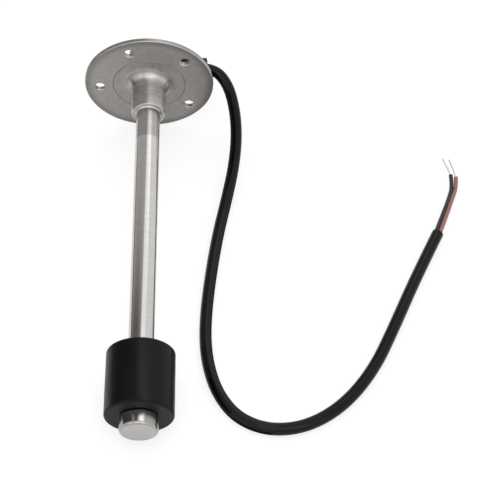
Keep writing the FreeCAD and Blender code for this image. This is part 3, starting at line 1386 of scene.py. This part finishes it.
@dataclass
class Float:
    """Foam float with a ring magnet in its bore.

    Attributes:
        edge_round: rounding of the outer edges.
        bore_round: rounding of the bore's edges.
        unevenness: how far the moulded skin wanders from a true cylinder.
        patch: size of the skin's uneven patches.
        fade: how fast the unevenness fades from the skin to the bore, as a power.
        longest: longest step between two points of the outline.
        segments: steps round the float.
    """

    edge_round: float = 1.2
    bore_round: float = 0.5
    unevenness: float = 0.05
    patch: float = 9.0
    fade: int = 3
    longest: float = 1.5
    segments: int = 224

    def build(self, stem: StemAxes) -> list[Piece]:
        """Mould the float and dress the magnet.

        Args:
            stem: the stem's axes.

        Returns:
            The float.
        """
        low, top, bore, outside = stem.turned_size("float_body")
        magnet_low, magnet_top, _, magnet = stem.turned_size("float_magnet")
        outline = Outline((
            Corner(bore, top, self.bore_round),
            Corner(outside, top, self.edge_round),
            Corner(outside, low, self.edge_round),
            Corner(bore, low, self.bore_round),
            Corner(bore, magnet_low),
            Corner(magnet, magnet_low),
            Corner(magnet, magnet_top),
            Corner(bore, magnet_top),
        ), self.longest)
        moulded = Maker.turned("float_moulded", outline, stem.matrix, self.segments, self._skin(outside))
        Inside.dress(stem, "float_magnet", SINTERED_FERRITE)
        return [Maker.fix(moulded, FLOAT_FOAM, Body.FLOAT, "float_foam", "float_body")]

    def _skin(self, outside: float) -> Callable[[Vector], Vector]:
        """Make the shift that leaves the skin a little uneven, and the bore true.

        Args:
            outside: the float's radius.

        Returns:
            The shift of one vertex.
        """
        def shift(place: Vector) -> Vector:
            """Move a vertex in or out with the skin.

            Args:
                place: the vertex.

            Returns:
                Its new place.
            """
            share = min(1.0, math.hypot(place.x, place.z) / outside)
            push = noise.noise(place / self.patch) * self.unevenness * share ** self.fade
            return Vector((place.x * (1 + push / outside), place.y, place.z * (1 + push / outside)))

        return shift


@dataclass
class Head:
    """Drawn cup on the flange's outer side, with a boss for the gland and the weld that holds the cup.

    Attributes:
        wall: the cup's wall.
        edge_round: rounding of the cup's top.
        segments: steps round the cup.
        boss_wall: wall of the boss.
        boss_start: where the boss starts inside the cup.
        boss_round: rounding of the boss's end.
        boss_segments: steps round the boss.
        hole_start: where the boss's hole starts inside the cup.
        weld_radius: radius of the weld's bead.
        weld_height: the bead's height against its width.
        weld_sides: steps round the bead's section.
        ripples: ripples round the weld.
        ripple_steps: steps along one ripple.
        ripple_depth: how far the ripples stand out.
        ripple_bulge: how soon a ripple rises, as a power.
        wander: how far the bead's size wanders.
        wander_pace: how fast it wanders round the weld.
    """

    wall: float = 1.0
    edge_round: float = 1.5
    segments: int = 192
    boss_wall: float = 1.95
    boss_start: float = 1.0
    boss_round: float = 0.4
    boss_segments: int = 96
    hole_start: float = 1.5
    weld_radius: float = 0.75
    weld_height: float = 0.9
    weld_sides: int = 12
    ripples: int = 62
    ripple_steps: int = 8
    ripple_depth: float = 0.07
    ripple_bulge: float = 0.6
    wander: float = 0.05
    wander_pace: float = 3.0

    def build(self, stem: StemAxes) -> list[Piece]:
        """Make the cup with its boss, and the weld.

        Args:
            stem: the stem's axes.

        Returns:
            The cup and the weld.
        """
        low, top = stem.reach("head_housing", Axis.ALONG)
        radius = stem.reach("head_housing", Axis.HEIGHT)[1]
        boss_end = stem.reach("head_housing", Axis.ACROSS)[1]
        boss = stem.end_radius("head_housing")
        gland = CableGland.axes(stem)
        cup = Maker.turned("head_cup", self._cup(radius, low, top, 0.0), stem.matrix, self.segments)
        nose = self._bar("head_boss", gland, boss, (self.boss_start, boss_end), self.boss_round)
        inner = self._cup(radius, low - PAST, top, self.wall)
        hollow = Maker.turned("head_hollow", inner, stem.matrix, self.segments)
        hole = self._bar("head_hole", gland, boss - self.boss_wall, (self.hole_start, boss_end + PAST), 0.0)
        Maker.work(cup, [nose], Cut.JOIN)
        Maker.work(cup, [hollow, hole], Cut.AWAY)
        return [
            Maker.fix(cup, HEAD_STEEL, Body.SENDER, "head_steel", "head_housing"),
            Maker.fix(self._weld(stem.matrix, radius, low), WELD_STEEL, Body.SENDER, "head_steel"),
        ]

    def _cup(self, radius: float, low: float, top: float, inset: float) -> Outline:
        """Make the outline of the cup, or of its hollow.

        Args:
            radius: the cup's radius.
            low: where the outline starts.
            top: the cup's top.
            inset: 0 for the cup, and its wall for the hollow.

        Returns:
            The outline.
        """
        return Outline((
            Corner(0.0, low),
            Corner(radius - inset, low),
            Corner(radius - inset, top - inset, self.edge_round - inset),
            Corner(0.0, top - inset),
        ))

    def _bar(self, name: str, axes: Matrix, radius: float, ends: Span, edge: float) -> Piece:
        """Make a round bar along the gland's axis.

        Args:
            name: the bar's name.
            axes: the gland's axes.
            radius: the bar's radius.
            ends: where it starts and ends.
            edge: rounding of its outer edge.

        Returns:
            The bar.
        """
        start, end = ends
        corners = (Corner(0.0, start), Corner(radius, start), Corner(radius, end, edge), Corner(0.0, end))
        return Maker.turned(name, Outline(corners), axes, self.boss_segments)

    def _weld(self, axes: Matrix, radius: float, along: float) -> Piece:
        """Make the rippled fillet weld round the cup's foot.

        Args:
            axes: the stem's axes.
            radius: the cup's radius.
            along: where the cup stands.

        Returns:
            The weld.
        """
        steps = self.ripples * self.ripple_steps
        sides = self.weld_sides
        places: list[Vector] = []
        faces: list[tuple[int, ...]] = []
        for i in range(steps):
            angle = math.tau * i / steps
            cosine, sine = math.cos(angle), math.sin(angle)
            ripple = (i % self.ripple_steps / self.ripple_steps) ** self.ripple_bulge - MIDDLE
            wander = noise.noise(Vector((cosine * self.wander_pace, sine * self.wander_pace, 0.0)))
            size = self.weld_radius + self.ripple_depth * ripple + self.wander * wander
            low, high = i * sides, (i + 1) % steps * sides
            for k in range(sides):
                turn = math.tau * k / sides
                out = radius + size * math.cos(turn)
                rise = size * math.sin(turn) * self.weld_height
                places.append(Vector((out * cosine, along + rise, out * sine)))
                after = (k + 1) % sides
                faces.append((low + k, high + k, high + after, low + after))
        return Maker.meshed("head_weld", places, faces, axes)


@dataclass
class CableGland:
    """Gland in the head's boss: body with flats, rubber seal and nut.

    Attributes:
        bevel: rounding of the body's moulded edges.
        fit: room round the cable and the seal.
        collar_gap: gap between the body's collar and the nut.
        corner_share: radius at which the collar's corners are turned off, as a share of their own.
        body_segments: steps round the body.
        nut_break: rounding of the nut's inner edges.
        nut_round: rounding of the nut's outer edge on the collar's side.
        dome: rounding of the nut's face.
        mouth_room: room between the cable and the nut's mouth.
        mouth_depth: how far the flare starts past the seal.
        mouth_round: rounding where the flare starts.
        flare: how far the nut's mouth opens.
        nut_segments: steps round the nut.
        flat_count: flats round the collar and the nut.
    """

    bevel: float = 0.25
    fit: float = 0.05
    collar_gap: float = 0.3
    corner_share: float = 0.97
    body_segments: int = 96
    nut_break: float = 0.2
    nut_round: float = 0.4
    dome: float = 1.2
    mouth_room: float = 0.5
    mouth_depth: float = 1.0
    mouth_round: float = 0.5
    flare: float = 0.9
    nut_segments: int = 128
    flat_count: int = 6

    @staticmethod
    def axes(stem: StemAxes) -> Matrix:
        """Find the gland's axes: Y along the gland, away from the stem.

        Args:
            stem: the stem's axes.

        Returns:
            What takes them to the row frame.
        """
        low, high = stem.reach("gland_seal", Axis.ALONG)
        turn = Matrix(((0.0, 1.0, 0.0), (-1.0, 0.0, 0.0), (0.0, 0.0, 1.0))).to_4x4()
        return stem.matrix @ Matrix.Translation(Vector((0.0, (low + high) / 2, 0.0)) * MM) @ turn

    def build(self, stem: StemAxes) -> list[Piece]:
        """Make the body and the nut, and dress the seal.

        Args:
            stem: the stem's axes.

        Returns:
            The body and the nut.
        """
        axes = self.axes(stem)
        Inside.dress(stem, "gland_seal", SEAL_RUBBER)
        return [
            Maker.fix(self._body(stem, axes), GLAND_PLASTIC, Body.SENDER, "gland_plastic", "gland_body"),
            Maker.fix(self._nut(stem, axes), GLAND_PLASTIC, Body.SENDER, "gland_plastic", "gland_nut"),
        ]

    def _body(self, stem: StemAxes, axes: Matrix) -> Piece:
        """Make the body: thread in the boss, collar with flats, and neck under the nut.

        Args:
            stem: the stem's axes.
            axes: the gland's axes.

        Returns:
            The body.
        """
        neck = stem.end_radius("gland_body")
        flats = stem.reach("gland_body", Axis.HEIGHT)[1]
        start = stem.reach("head_housing", Axis.ACROSS)[1]
        end = stem.reach("gland_nut", Axis.ACROSS)[0] - self.collar_gap
        body = self._sleeve("gland_body_moulded", axes, neck, stem.reach("gland_body", Axis.ACROSS))
        collar = self._sleeve("gland_collar", axes, self._corner(flats) * self.corner_share, (start, end))
        Maker.work(collar, [self._flats(axes, flats, (start, end))], Cut.KEEP)
        Maker.work(body, [collar], Cut.JOIN)
        return body

    def _sleeve(self, name: str, axes: Matrix, radius: float, ends: Span) -> Piece:
        """Make a sleeve round the cable.

        Args:
            name: the sleeve's name.
            axes: the gland's axes.
            radius: its outer radius.
            ends: where it starts and ends.

        Returns:
            The sleeve.
        """
        bore = Cable.diameter / 2 + self.fit
        outline = Outline((
            Corner(bore, ends[0]),
            Corner(radius, ends[0], self.bevel),
            Corner(radius, ends[1], self.bevel),
            Corner(bore, ends[1]),
        ))
        return Maker.turned(name, outline, axes, self.body_segments)

    def _corner(self, flats: float) -> float:
        """Radius of the corners between flats, from half the width across them."""
        return flats / math.cos(math.radians(180 / self.flat_count))

    def _flats(self, axes: Matrix, flats: float, ends: Span) -> Piece:
        """Make the prism that leaves a piece its flats.

        Args:
            axes: the gland's axes.
            flats: half the width across the flats.
            ends: where the piece starts and ends.

        Returns:
            The prism.
        """
        count = self.flat_count
        corner = self._corner(flats)
        places = []
        for along in (ends[0] - PAST, ends[1] + PAST):
            for i in range(count):
                angle = math.radians(360 / count * i)
                places.append((corner * math.cos(angle), along, corner * math.sin(angle)))
        faces: list[tuple[int, ...]] = [tuple(range(count)), tuple(range(count, 2 * count))]
        for i in range(count):
            j = (i + 1) % count
            faces.append((i, j, count + j, count + i))
        return Maker.meshed("gland_flats", places, faces, axes)

    def _nut(self, stem: StemAxes, axes: Matrix) -> Piece:
        """Make the nut, with flats, a domed face and a flared mouth.

        Args:
            stem: the stem's axes.
            axes: the gland's axes.

        Returns:
            The nut.
        """
        start, end = stem.reach("gland_nut", Axis.ACROSS)
        low, high = stem.reach("gland_nut", Axis.ALONG)
        outside = (high - low) / 2
        cavity = stem.reach("gland_seal", Axis.HEIGHT)[1] + self.fit
        seal_end = stem.reach("gland_seal", Axis.ACROSS)[1]
        mouth = Cable.diameter / 2 + self.mouth_room
        outline = Outline((
            Corner(cavity, start, self.nut_break),
            Corner(outside, start, self.nut_round),
            Corner(outside, end, self.dome),
            Corner(mouth + self.flare, end, self.nut_break),
            Corner(mouth, seal_end + self.mouth_depth, self.mouth_round),
            Corner(mouth, seal_end),
            Corner(cavity, seal_end),
        ))
        nut = Maker.turned("gland_nut_moulded", outline, axes, self.nut_segments)
        flats = stem.reach("gland_nut", Axis.HEIGHT)[1]
        Maker.work(nut, [self._flats(axes, flats, (start, end))], Cut.KEEP)
        return nut


class Inside:
    """Pieces inside the stem and the head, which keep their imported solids."""

    @staticmethod
    def dress(stem: StemAxes, node: str, finish: Finish) -> Piece:
        """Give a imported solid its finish.

        Args:
            stem: the stem's axes.
            node: the solid's name.
            finish: what it is dressed with.

        Returns:
            The solid's object.
        """
        piece = stem.nodes[node]
        for holder in piece.material_slots:
            holder.material = finish.material()
        return piece

    def build(self, stem: StemAxes) -> list[Piece]:
        """Dress the board, its switches and resistors, the pad and the inner leads.

        Args:
            stem: the stem's axes.

        Returns:
            The solids' objects.
        """
        finishes: dict[str, Finish] = {
            "circuit_board": SOLDER_RESIST,
            "board_pad": SEAL_RUBBER,
            "inner_lead_navy": NAVY_INSULATION,
            "inner_lead_brown": BROWN_INSULATION,
        }
        for node in stem.nodes:
            if node.startswith("reed_switch"):
                finishes[node] = SWITCH_GLASS
            elif node.startswith("resistor"):
                finishes[node] = CHIP_CERAMIC
        return [self.dress(stem, node, finish) for node, finish in finishes.items()]


@dataclass
class Cable:
    """Two-core cable from the gland, laid on the surface, with its cores and stripped ends.

    Routes are in metres from the foot of the mounting face: across, along and height.

    Attributes:
        diameter: the jacket's diameter.
        jacket_length: real length of the jacket, in metres; not used.
        core_length: real length of a core past the jacket, in metres; not used.
        core_diameter: diameter of a core.
        strand_diameter: diameter of one strand of a conductor.
        strand_count: strands laid round a conductor's middle one.
        strand_turn: length in which the strands turn once.
        inset: how far a core starts inside the jacket, and a conductor inside its core.
        grip: where the jacket starts past the gland's neck.
        exit_reach: how far past the gland's face the jacket starts to bend.
        end_overlap: how far the jacket's cut end reaches back over it.
        end_reach: how far it stands past the end of the jacket's line.
        end_round: rounding of its edge.
        end_proud: how far it stands out from the jacket.
        end_segments: steps round it.
        jacket_route: the jacket's control points past the gland.
        core_routes: each core's control points past the jacket.
        wire_routes: each conductor's control points past its core.
    """

    diameter: ClassVar[float] = 6.2
    jacket_length: float = 0.408
    core_length: float = 0.0455
    core_diameter: float = 2.2
    strand_diameter: float = 0.22
    strand_count: int = 6
    strand_turn: float = 9.0
    inset: float = 1.0
    grip: float = 0.5
    exit_reach: float = 2.8
    end_overlap: float = 0.4
    end_reach: float = 0.45
    end_round: float = 0.5
    end_proud: float = 0.01
    end_segments: int = 64
    jacket_route: tuple[Place, ...] = (
        (0.0426, 0.0054, 0.0306),
        (0.0465, -0.0073, 0.0242),
        (0.0476, -0.0219, 0.0169),
        (0.0458, -0.0381, 0.0097),
        (0.0416, -0.0572, 0.0040),
        (0.0370, -0.0799, 0.0031),
        (0.0334, -0.1052, 0.0031),
        (0.0309, -0.1294, 0.0031),
        (0.0303, -0.1495, 0.0031),
        (0.0324, -0.1665, 0.0031),
        (0.0373, -0.1815, 0.0031),
        (0.0464, -0.1942, 0.0031),
        (0.0612, -0.2009, 0.0031),
        (0.0795, -0.1989, 0.0031),
        (0.0977, -0.1870, 0.0031),
        (0.1133, -0.1667, 0.0031),
        (0.1255, -0.1407, 0.0031),
        (0.1392, -0.1097, 0.0031),
        (0.1530, -0.0814, 0.0031),
    )
    core_routes: dict[str, tuple[Place, ...]] = field(default_factory=lambda: {
        "navy": (
            (0.1573, -0.0677, 0.0027),
            (0.1619, -0.0558, 0.0019),
            (0.1648, -0.0466, 0.0012),
            (0.1648, -0.0386, 0.0011),
        ),
        "brown": (
            (0.1592, -0.0685, 0.0027),
            (0.1634, -0.0567, 0.0019),
            (0.1669, -0.0474, 0.0012),
            (0.1675, -0.0402, 0.0011),
        ),
    })
    wire_routes: dict[str, tuple[Place, ...]] = field(default_factory=lambda: {
        "navy": ((0.1636, -0.0323, 0.0009), (0.1616, -0.0259, 0.0007)),
        "brown": ((0.1667, -0.0333, 0.0009), (0.1651, -0.0266, 0.0007)),
    })

    def build(self, stem: StemAxes) -> list[Piece]:
        """Lay the jacket, the cores and the conductors.

        Args:
            stem: the stem's axes.

        Returns:
            The jacket, its cut end, and each core with its conductor.
        """
        foot = Vector((0.0, stem.matrix.translation.y, 0.0))
        gland_y = stem.local(CableGland.axes(stem).translation).y
        neck = stem.reach("gland_body", Axis.ACROSS)[1]
        face = stem.reach("gland_nut", Axis.ACROSS)[1]
        start = stem.world((neck + self.grip, gland_y, 0.0))
        bend = stem.world((face + self.exit_reach, gland_y, 0.0))
        route = [start, bend] + [foot + Vector(place) for place in self.jacket_route]
        along = (route[-1] - route[-2]).normalized()
        jacket = self._laid("cable_jacket_laid", route, self.diameter * MM)
        end = self._jacket_end(route[-1], along)
        Maker.fix(jacket, JACKET_RUBBER, Body.SENDER, "cable_jacket", "cable_jacket")
        Maker.fix(end, JACKET_RUBBER, Body.SENDER, "cable_jacket")
        exit_place = stem.world((face, gland_y, 0.0))
        pieces = [jacket, end]
        beside = along.cross(UP) * (self.core_diameter / 2 * MM)
        for colour, side, finish in (("navy", -1.0, NAVY_INSULATION), ("brown", 1.0, BROWN_INSULATION)):
            leaves = route[-1] + beside * side
            pieces += self._core(colour, finish, foot, leaves - along * (self.inset * MM))
        return pieces

    def _laid(self, name: str, route: Sequence[Vector], diameter: float) -> Piece:
        """Lay a smooth cord along a route.

        Args:
            name: the cord's name.
            route: its control points, in metres.
            diameter: its diameter in metres, or 0 for its line alone.

        Returns:
            The cord.
        """
        curve = bpy.data.curves.new(name, "CURVE")
        curve.dimensions = "3D"
        spline = curve.splines.new("NURBS")
        spline.points.add(len(route) - 1)
        for point, place in zip(spline.points, route):
            point.co = (*place, 1.0)
        spline.order_u = 3
        spline.use_endpoint_u = True
        spline.resolution_u = 16
        curve.bevel_depth = diameter / 2
        curve.bevel_resolution = 10
        curve.use_fill_caps = True
        return Maker.place(name, curve, Matrix.Identity(4))

    def _line(self, name: str, route: Sequence[Vector]) -> list[Vector]:
        """Read the points of the smooth line along a route.

        Args:
            name: the line's name.
            route: its control points, in metres.

        Returns:
            The points, in millimetres.
        """
        cord = self._laid(name, route, 0.0)
        graph = bpy.context.evaluated_depsgraph_get()
        mesh = bpy.data.meshes.new_from_object(cord.evaluated_get(graph))
        points = [vertex.co / MM for vertex in mesh.vertices]
        bpy.data.meshes.remove(mesh)
        bpy.data.curves.remove(cord.data)
        return points

    def _jacket_end(self, place: Vector, along: Vector) -> Piece:
        """Make the jacket's cut end, with a slightly rounded edge.

        Args:
            place: where the jacket's line ends.
            along: its direction there.

        Returns:
            The cut end.
        """
        radius = self.diameter / 2 + self.end_proud
        outline = Outline((
            Corner(0.0, -self.end_overlap),
            Corner(radius, -self.end_overlap),
            Corner(radius, self.end_reach, self.end_round),
            Corner(0.0, self.end_reach),
        ))
        turn = Vector((0.0, 1.0, 0.0)).rotation_difference(along).to_matrix().to_4x4()
        return Maker.turned("jacket_end", outline, Matrix.Translation(place) @ turn, self.end_segments)

    def _core(
        self, colour: str, finish: Finish, foot: Vector, first: Vector
    ) -> list[Piece]:
        """Lay one core and its stripped conductor.

        Args:
            colour: the core's colour name.
            finish: its insulation.
            foot: foot of the mounting face.
            first: where the core starts in the jacket.

        Returns:
            The core and the conductor.
        """
        route = [first] + [foot + Vector(place) for place in self.core_routes[colour]]
        core = self._laid(f"core_{colour}_laid", route, self.core_diameter * MM)
        Maker.fix(core, finish, Body.SENDER, f"core_{colour}", f"core_{colour}")
        tip = route[-1] + (route[-2] - route[-1]).normalized() * (self.inset * MM)
        line = self._line("wire_line", [tip] + [foot + Vector(place) for place in self.wire_routes[colour]])
        wire = Maker.wires(f"wire_{colour}", self._strands(line), self.strand_diameter / 2)
        Maker.fix(wire, TINNED_COPPER, Body.SENDER, "tinned_copper", f"conductor_{colour}")
        return [core, wire]

    def _strands(self, line: Sequence[Vector]) -> list[list[Vector]]:
        """Lay strands round a line.

        Args:
            line: the conductor's line, in millimetres.

        Returns:
            Each strand's line, the middle one first.
        """
        lines = [list(line)]
        for k in range(self.strand_count):
            strand = []
            length = 0.0
            for i, point in enumerate(line):
                ahead = Maker.ahead(line, i)
                side = ahead.cross(UP).normalized()
                above = side.cross(ahead)
                length += (point - line[max(i - 1, 0)]).length
                angle = math.tau * (k / self.strand_count + length / self.strand_turn)
                out = side * math.cos(angle) + above * math.sin(angle)
                strand.append(point + out * self.strand_diameter)
            lines.append(strand)
        return lines


@dataclass(frozen=True)
class PhotoCamera:
    """Camera at the photograph's place.

    Attributes:
        place: where it stands, in metres.
        pitch: how far it looks down, in degrees.
        heading: how far it looks to the right of the stem, in degrees.
        roll: how far it is rolled, in degrees.
        focal: focal length in pixels.
        image: the image's side in pixels.
        centre: how far the image's middle is from the middle of its pixels, in pixels to the right and down.
        sensor: the sensor's side.
    """

    place: Place = (0.043563, -0.455381, 0.575769)
    pitch: float = 50.9696
    heading: float = 0.646
    roll: float = -0.105
    focal: float = 1400.0
    image: float = 480.0
    centre: Span = (0.5, 0.5)
    sensor: float = 36.0

    def build(self) -> Piece:
        """Set up the camera and make it the scene's.

        Returns:
            The camera.
        """
        camera = bpy.data.cameras.new("camera")
        camera.sensor_width = self.sensor
        camera.lens = self.focal * self.sensor / self.image
        camera.shift_x = -self.centre[0] / self.image
        camera.shift_y = self.centre[1] / self.image
        axes = Matrix.Translation(self.place)
        for degrees, about in ((-self.heading, "Z"), (90 - self.pitch, "X"), (self.roll, "Z")):
            axes = axes @ Matrix.Rotation(math.radians(degrees), 4, about)
        made = Maker.place("camera", camera, axes)
        bpy.context.scene.camera = made
        return made


@dataclass(frozen=True)
class Softbox:
    """Rectangular studio light.

    Attributes:
        name: the light's name.
        place: its middle, in metres.
        target: the point that it faces, in metres.
        width: its width in metres.
        height: its height in metres.
        brightness: how bright its face looks, where 1 is white.
    """

    name: str
    place: Place
    target: Place
    width: float
    height: float
    brightness: float

    def build(self) -> Piece:
        """Set up the light.

        Returns:
            The light.
        """
        light = bpy.data.lights.new(self.name, "AREA")
        light.shape = "RECTANGLE"
        light.size = self.width
        light.size_y = self.height
        light.energy = self.brightness * math.pi * self.width * self.height
        facing = (Vector(self.target) - Vector(self.place)).to_track_quat("-Z", "Y").to_matrix().to_4x4()
        return Maker.place(self.name, light, Matrix.Translation(self.place) @ facing)


@dataclass(frozen=True)
class DimCard:
    """Glowing dim sheet beside the object that only its metal and gloss show: no lamp, but a painted dark
    reflection.

    Attributes:
        name: the card's name.
        outline: its bent outline as (across, height) points.
        along: where it starts and ends along the stem.
        near: its tone at the near end.
        far: its tone at the far end.
        fade: where the near tone ends, and where the far one is reached.
    """

    name: str
    outline: tuple[Span, ...]
    along: Span
    near: Colour
    far: Colour
    fade: Span

    def build(self) -> Piece:
        """Set up the card.

        Returns:
            The card.
        """
        places = [(across, along, height) for across, height in self.outline for along in self.along]
        faces = [(2 * i, 2 * i + 1, 2 * i + 3, 2 * i + 2) for i in range(len(self.outline) - 1)]
        card = Maker.meshed(self.name, places, faces, Matrix.Identity(4))
        shader = Shader(self.name)
        shader.bare()
        tone = shader.fit(shader.axis(shader.millimetres(), "Y"), self.fade)
        shader.show(shader.add("ShaderNodeEmission", {"Color": shader.tones(tone, self.near, self.far)}))
        card.data.materials.append(shader.material)
        card.visible_camera = False
        card.visible_diffuse = False
        card.visible_shadow = False
        card.visible_transmission = False
        return card


@dataclass(frozen=True)
class Studio:
    """White surface, soft boxes, and glowing dim cards that paint dark reflections into the metal's sides.

    Attributes:
        floor_side: side of the surface in metres.
        floor_glow: share of the surface's white that doesn't depend on the light, as the camera sees it.
        floor_light: share that shows the light and the object's shadow, as the camera sees it.
        mirror_glow: the first share, as metal shows it.
        mirror_light: the second share, as metal shows it.
        world_light: strength of the light from all round.
        boxes: the lights.
        cards: the dim cards.
    """

    floor_side: float = 8.0
    floor_glow: float = 0.72
    floor_light: float = 0.34
    mirror_glow: float = 0.1
    mirror_light: float = 0.92
    world_light: float = 0.85
    boxes: tuple[Softbox, ...] = (
        Softbox("top_box", (0.28, 0.55, 0.95), (0.02, 0.0, 0.03), 0.7, 0.9, 0.22),
        Softbox("cap_box", (0.028, -0.07, 0.12), (0.0, -0.11, 0.03), 0.086, 0.026, 2.1),
        Softbox("window_box", (-0.053, -0.067, 0.123), (0.0, -0.11, 0.03), 0.052, 0.03, 0.42),
        Softbox("collar_box", (0.3, 0.64, 0.78), (0.0, 0.07, 0.04), 0.46, 0.18, 0.6),
        Softbox("high_box", (0.05, -0.42, 1.1), (0.0, 0.05, 0.03), 0.9, 0.4, 0.6),
        Softbox("front_box", (0.1, -0.66, 0.86), (0.04, -0.02, 0.0), 0.85, 0.15, 2.3),
        Softbox("left_box", (-0.72, -0.72, 0.6), (0.0, 0.0, 0.03), 0.55, 0.4, 0.6),
        Softbox("right_box", (0.58, -0.72, 0.68), (0.0, 0.0, 0.03), 0.6, 0.4, 0.6),
    )
    # left_card paints a dark reflection on the metal's left, darker towards the float's end; right_strip
    # paints a dim strip of the surface into reflections.
    cards: tuple[DimCard, ...] = (
        DimCard(
            "left_card", ((-110.0, 0.4), (-520.0, 0.4), (-15.0, 800.0)), (-40.0, 1060.0),
            (0.05, 0.047, 0.045), (0.54, 0.523, 0.51), (110.0, 320.0),
        ),
        DimCard(
            "right_strip", ((30.0, 0.4), (62.0, 0.4)), (-120.0, 450.0),
            (0.15, 0.145, 0.14), (0.3, 0.29, 0.28), (0.0, 300.0),
        ),
    )

    def build(self) -> None:
        """Set up the studio."""
        bpy.context.scene.view_settings.view_transform = "Standard"
        self._world()
        self._floor()
        [card.build() for card in self.cards]
        for box in self.boxes:
            box.build()

    def _world(self) -> None:
        """Make the surroundings: white to the eye and in metal and glass, and a softer light."""
        world = bpy.data.worlds.new("studio")
        bpy.context.scene.world = world
        world.use_nodes = True
        world.cycles.sampling_method = "NONE"
        nodes = Nodes(world.node_tree)
        background = nodes.tree.nodes["Background"].inputs
        path = nodes.add("ShaderNodeLightPath", {}).outputs
        seen = nodes.either(path["Is Camera Ray"], path["Is Glossy Ray"])
        seen = nodes.either(seen, path["Is Transmission Ray"])
        nodes.feed(background["Color"], (1.0, 1.0, 1.0, 1.0))
        nodes.feed(background["Strength"], nodes.fit(seen, SHARE, (self.world_light, 1.0)))

    def _floor(self) -> Piece:
        """Make the white surface, which keeps the object's shadow.

        Returns:
            The surface.
        """
        half = self.floor_side / 2 / MM
        corners = [(-half, -half, 0.0), (half, -half, 0.0), (half, half, 0.0), (-half, half, 0.0)]
        floor = Maker.meshed("floor", corners, [(0, 1, 2, 3)], Matrix.Identity(4))
        shader = Shader("white_surface")
        shader.bare()
        path = shader.add("ShaderNodeLightPath", {}).outputs
        camera = path["Is Camera Ray"]
        mirror = shader.either(path["Is Glossy Ray"], path["Is Transmission Ray"])
        strength = shader.plus(shader.times(camera, self.floor_glow), shader.times(mirror, self.mirror_glow))
        glow = shader.add("ShaderNodeEmission", {"Strength": strength})
        tone = shader.tones(camera, (self.mirror_light,) * 3, (self.floor_light,) * 3)
        lit = shader.add("ShaderNodeBsdfDiffuse", {"Color": tone})
        shader.show(shader.add("ShaderNodeAddShader", {0: glow.outputs[0], 1: lit.outputs[0]}))
        floor.data.materials.append(shader.material)
        return floor


def main() -> None:
    """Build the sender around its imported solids, then the camera and the studio."""
    logging.basicConfig(level=logging.INFO, format="%(message)s")
    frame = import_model()
    stem = StemAxes(frame)
    for part in (Flange(), HubCollar(), Stem(), EndCap(), Float(), Head(), CableGland(), Inside(), Cable()):
        for piece in part.build(stem):
            LOG.info("%s: %s", type(part).__name__, piece.name)
    PhotoCamera().build()
    Studio().build()


if __name__ == "__main__":
    main()
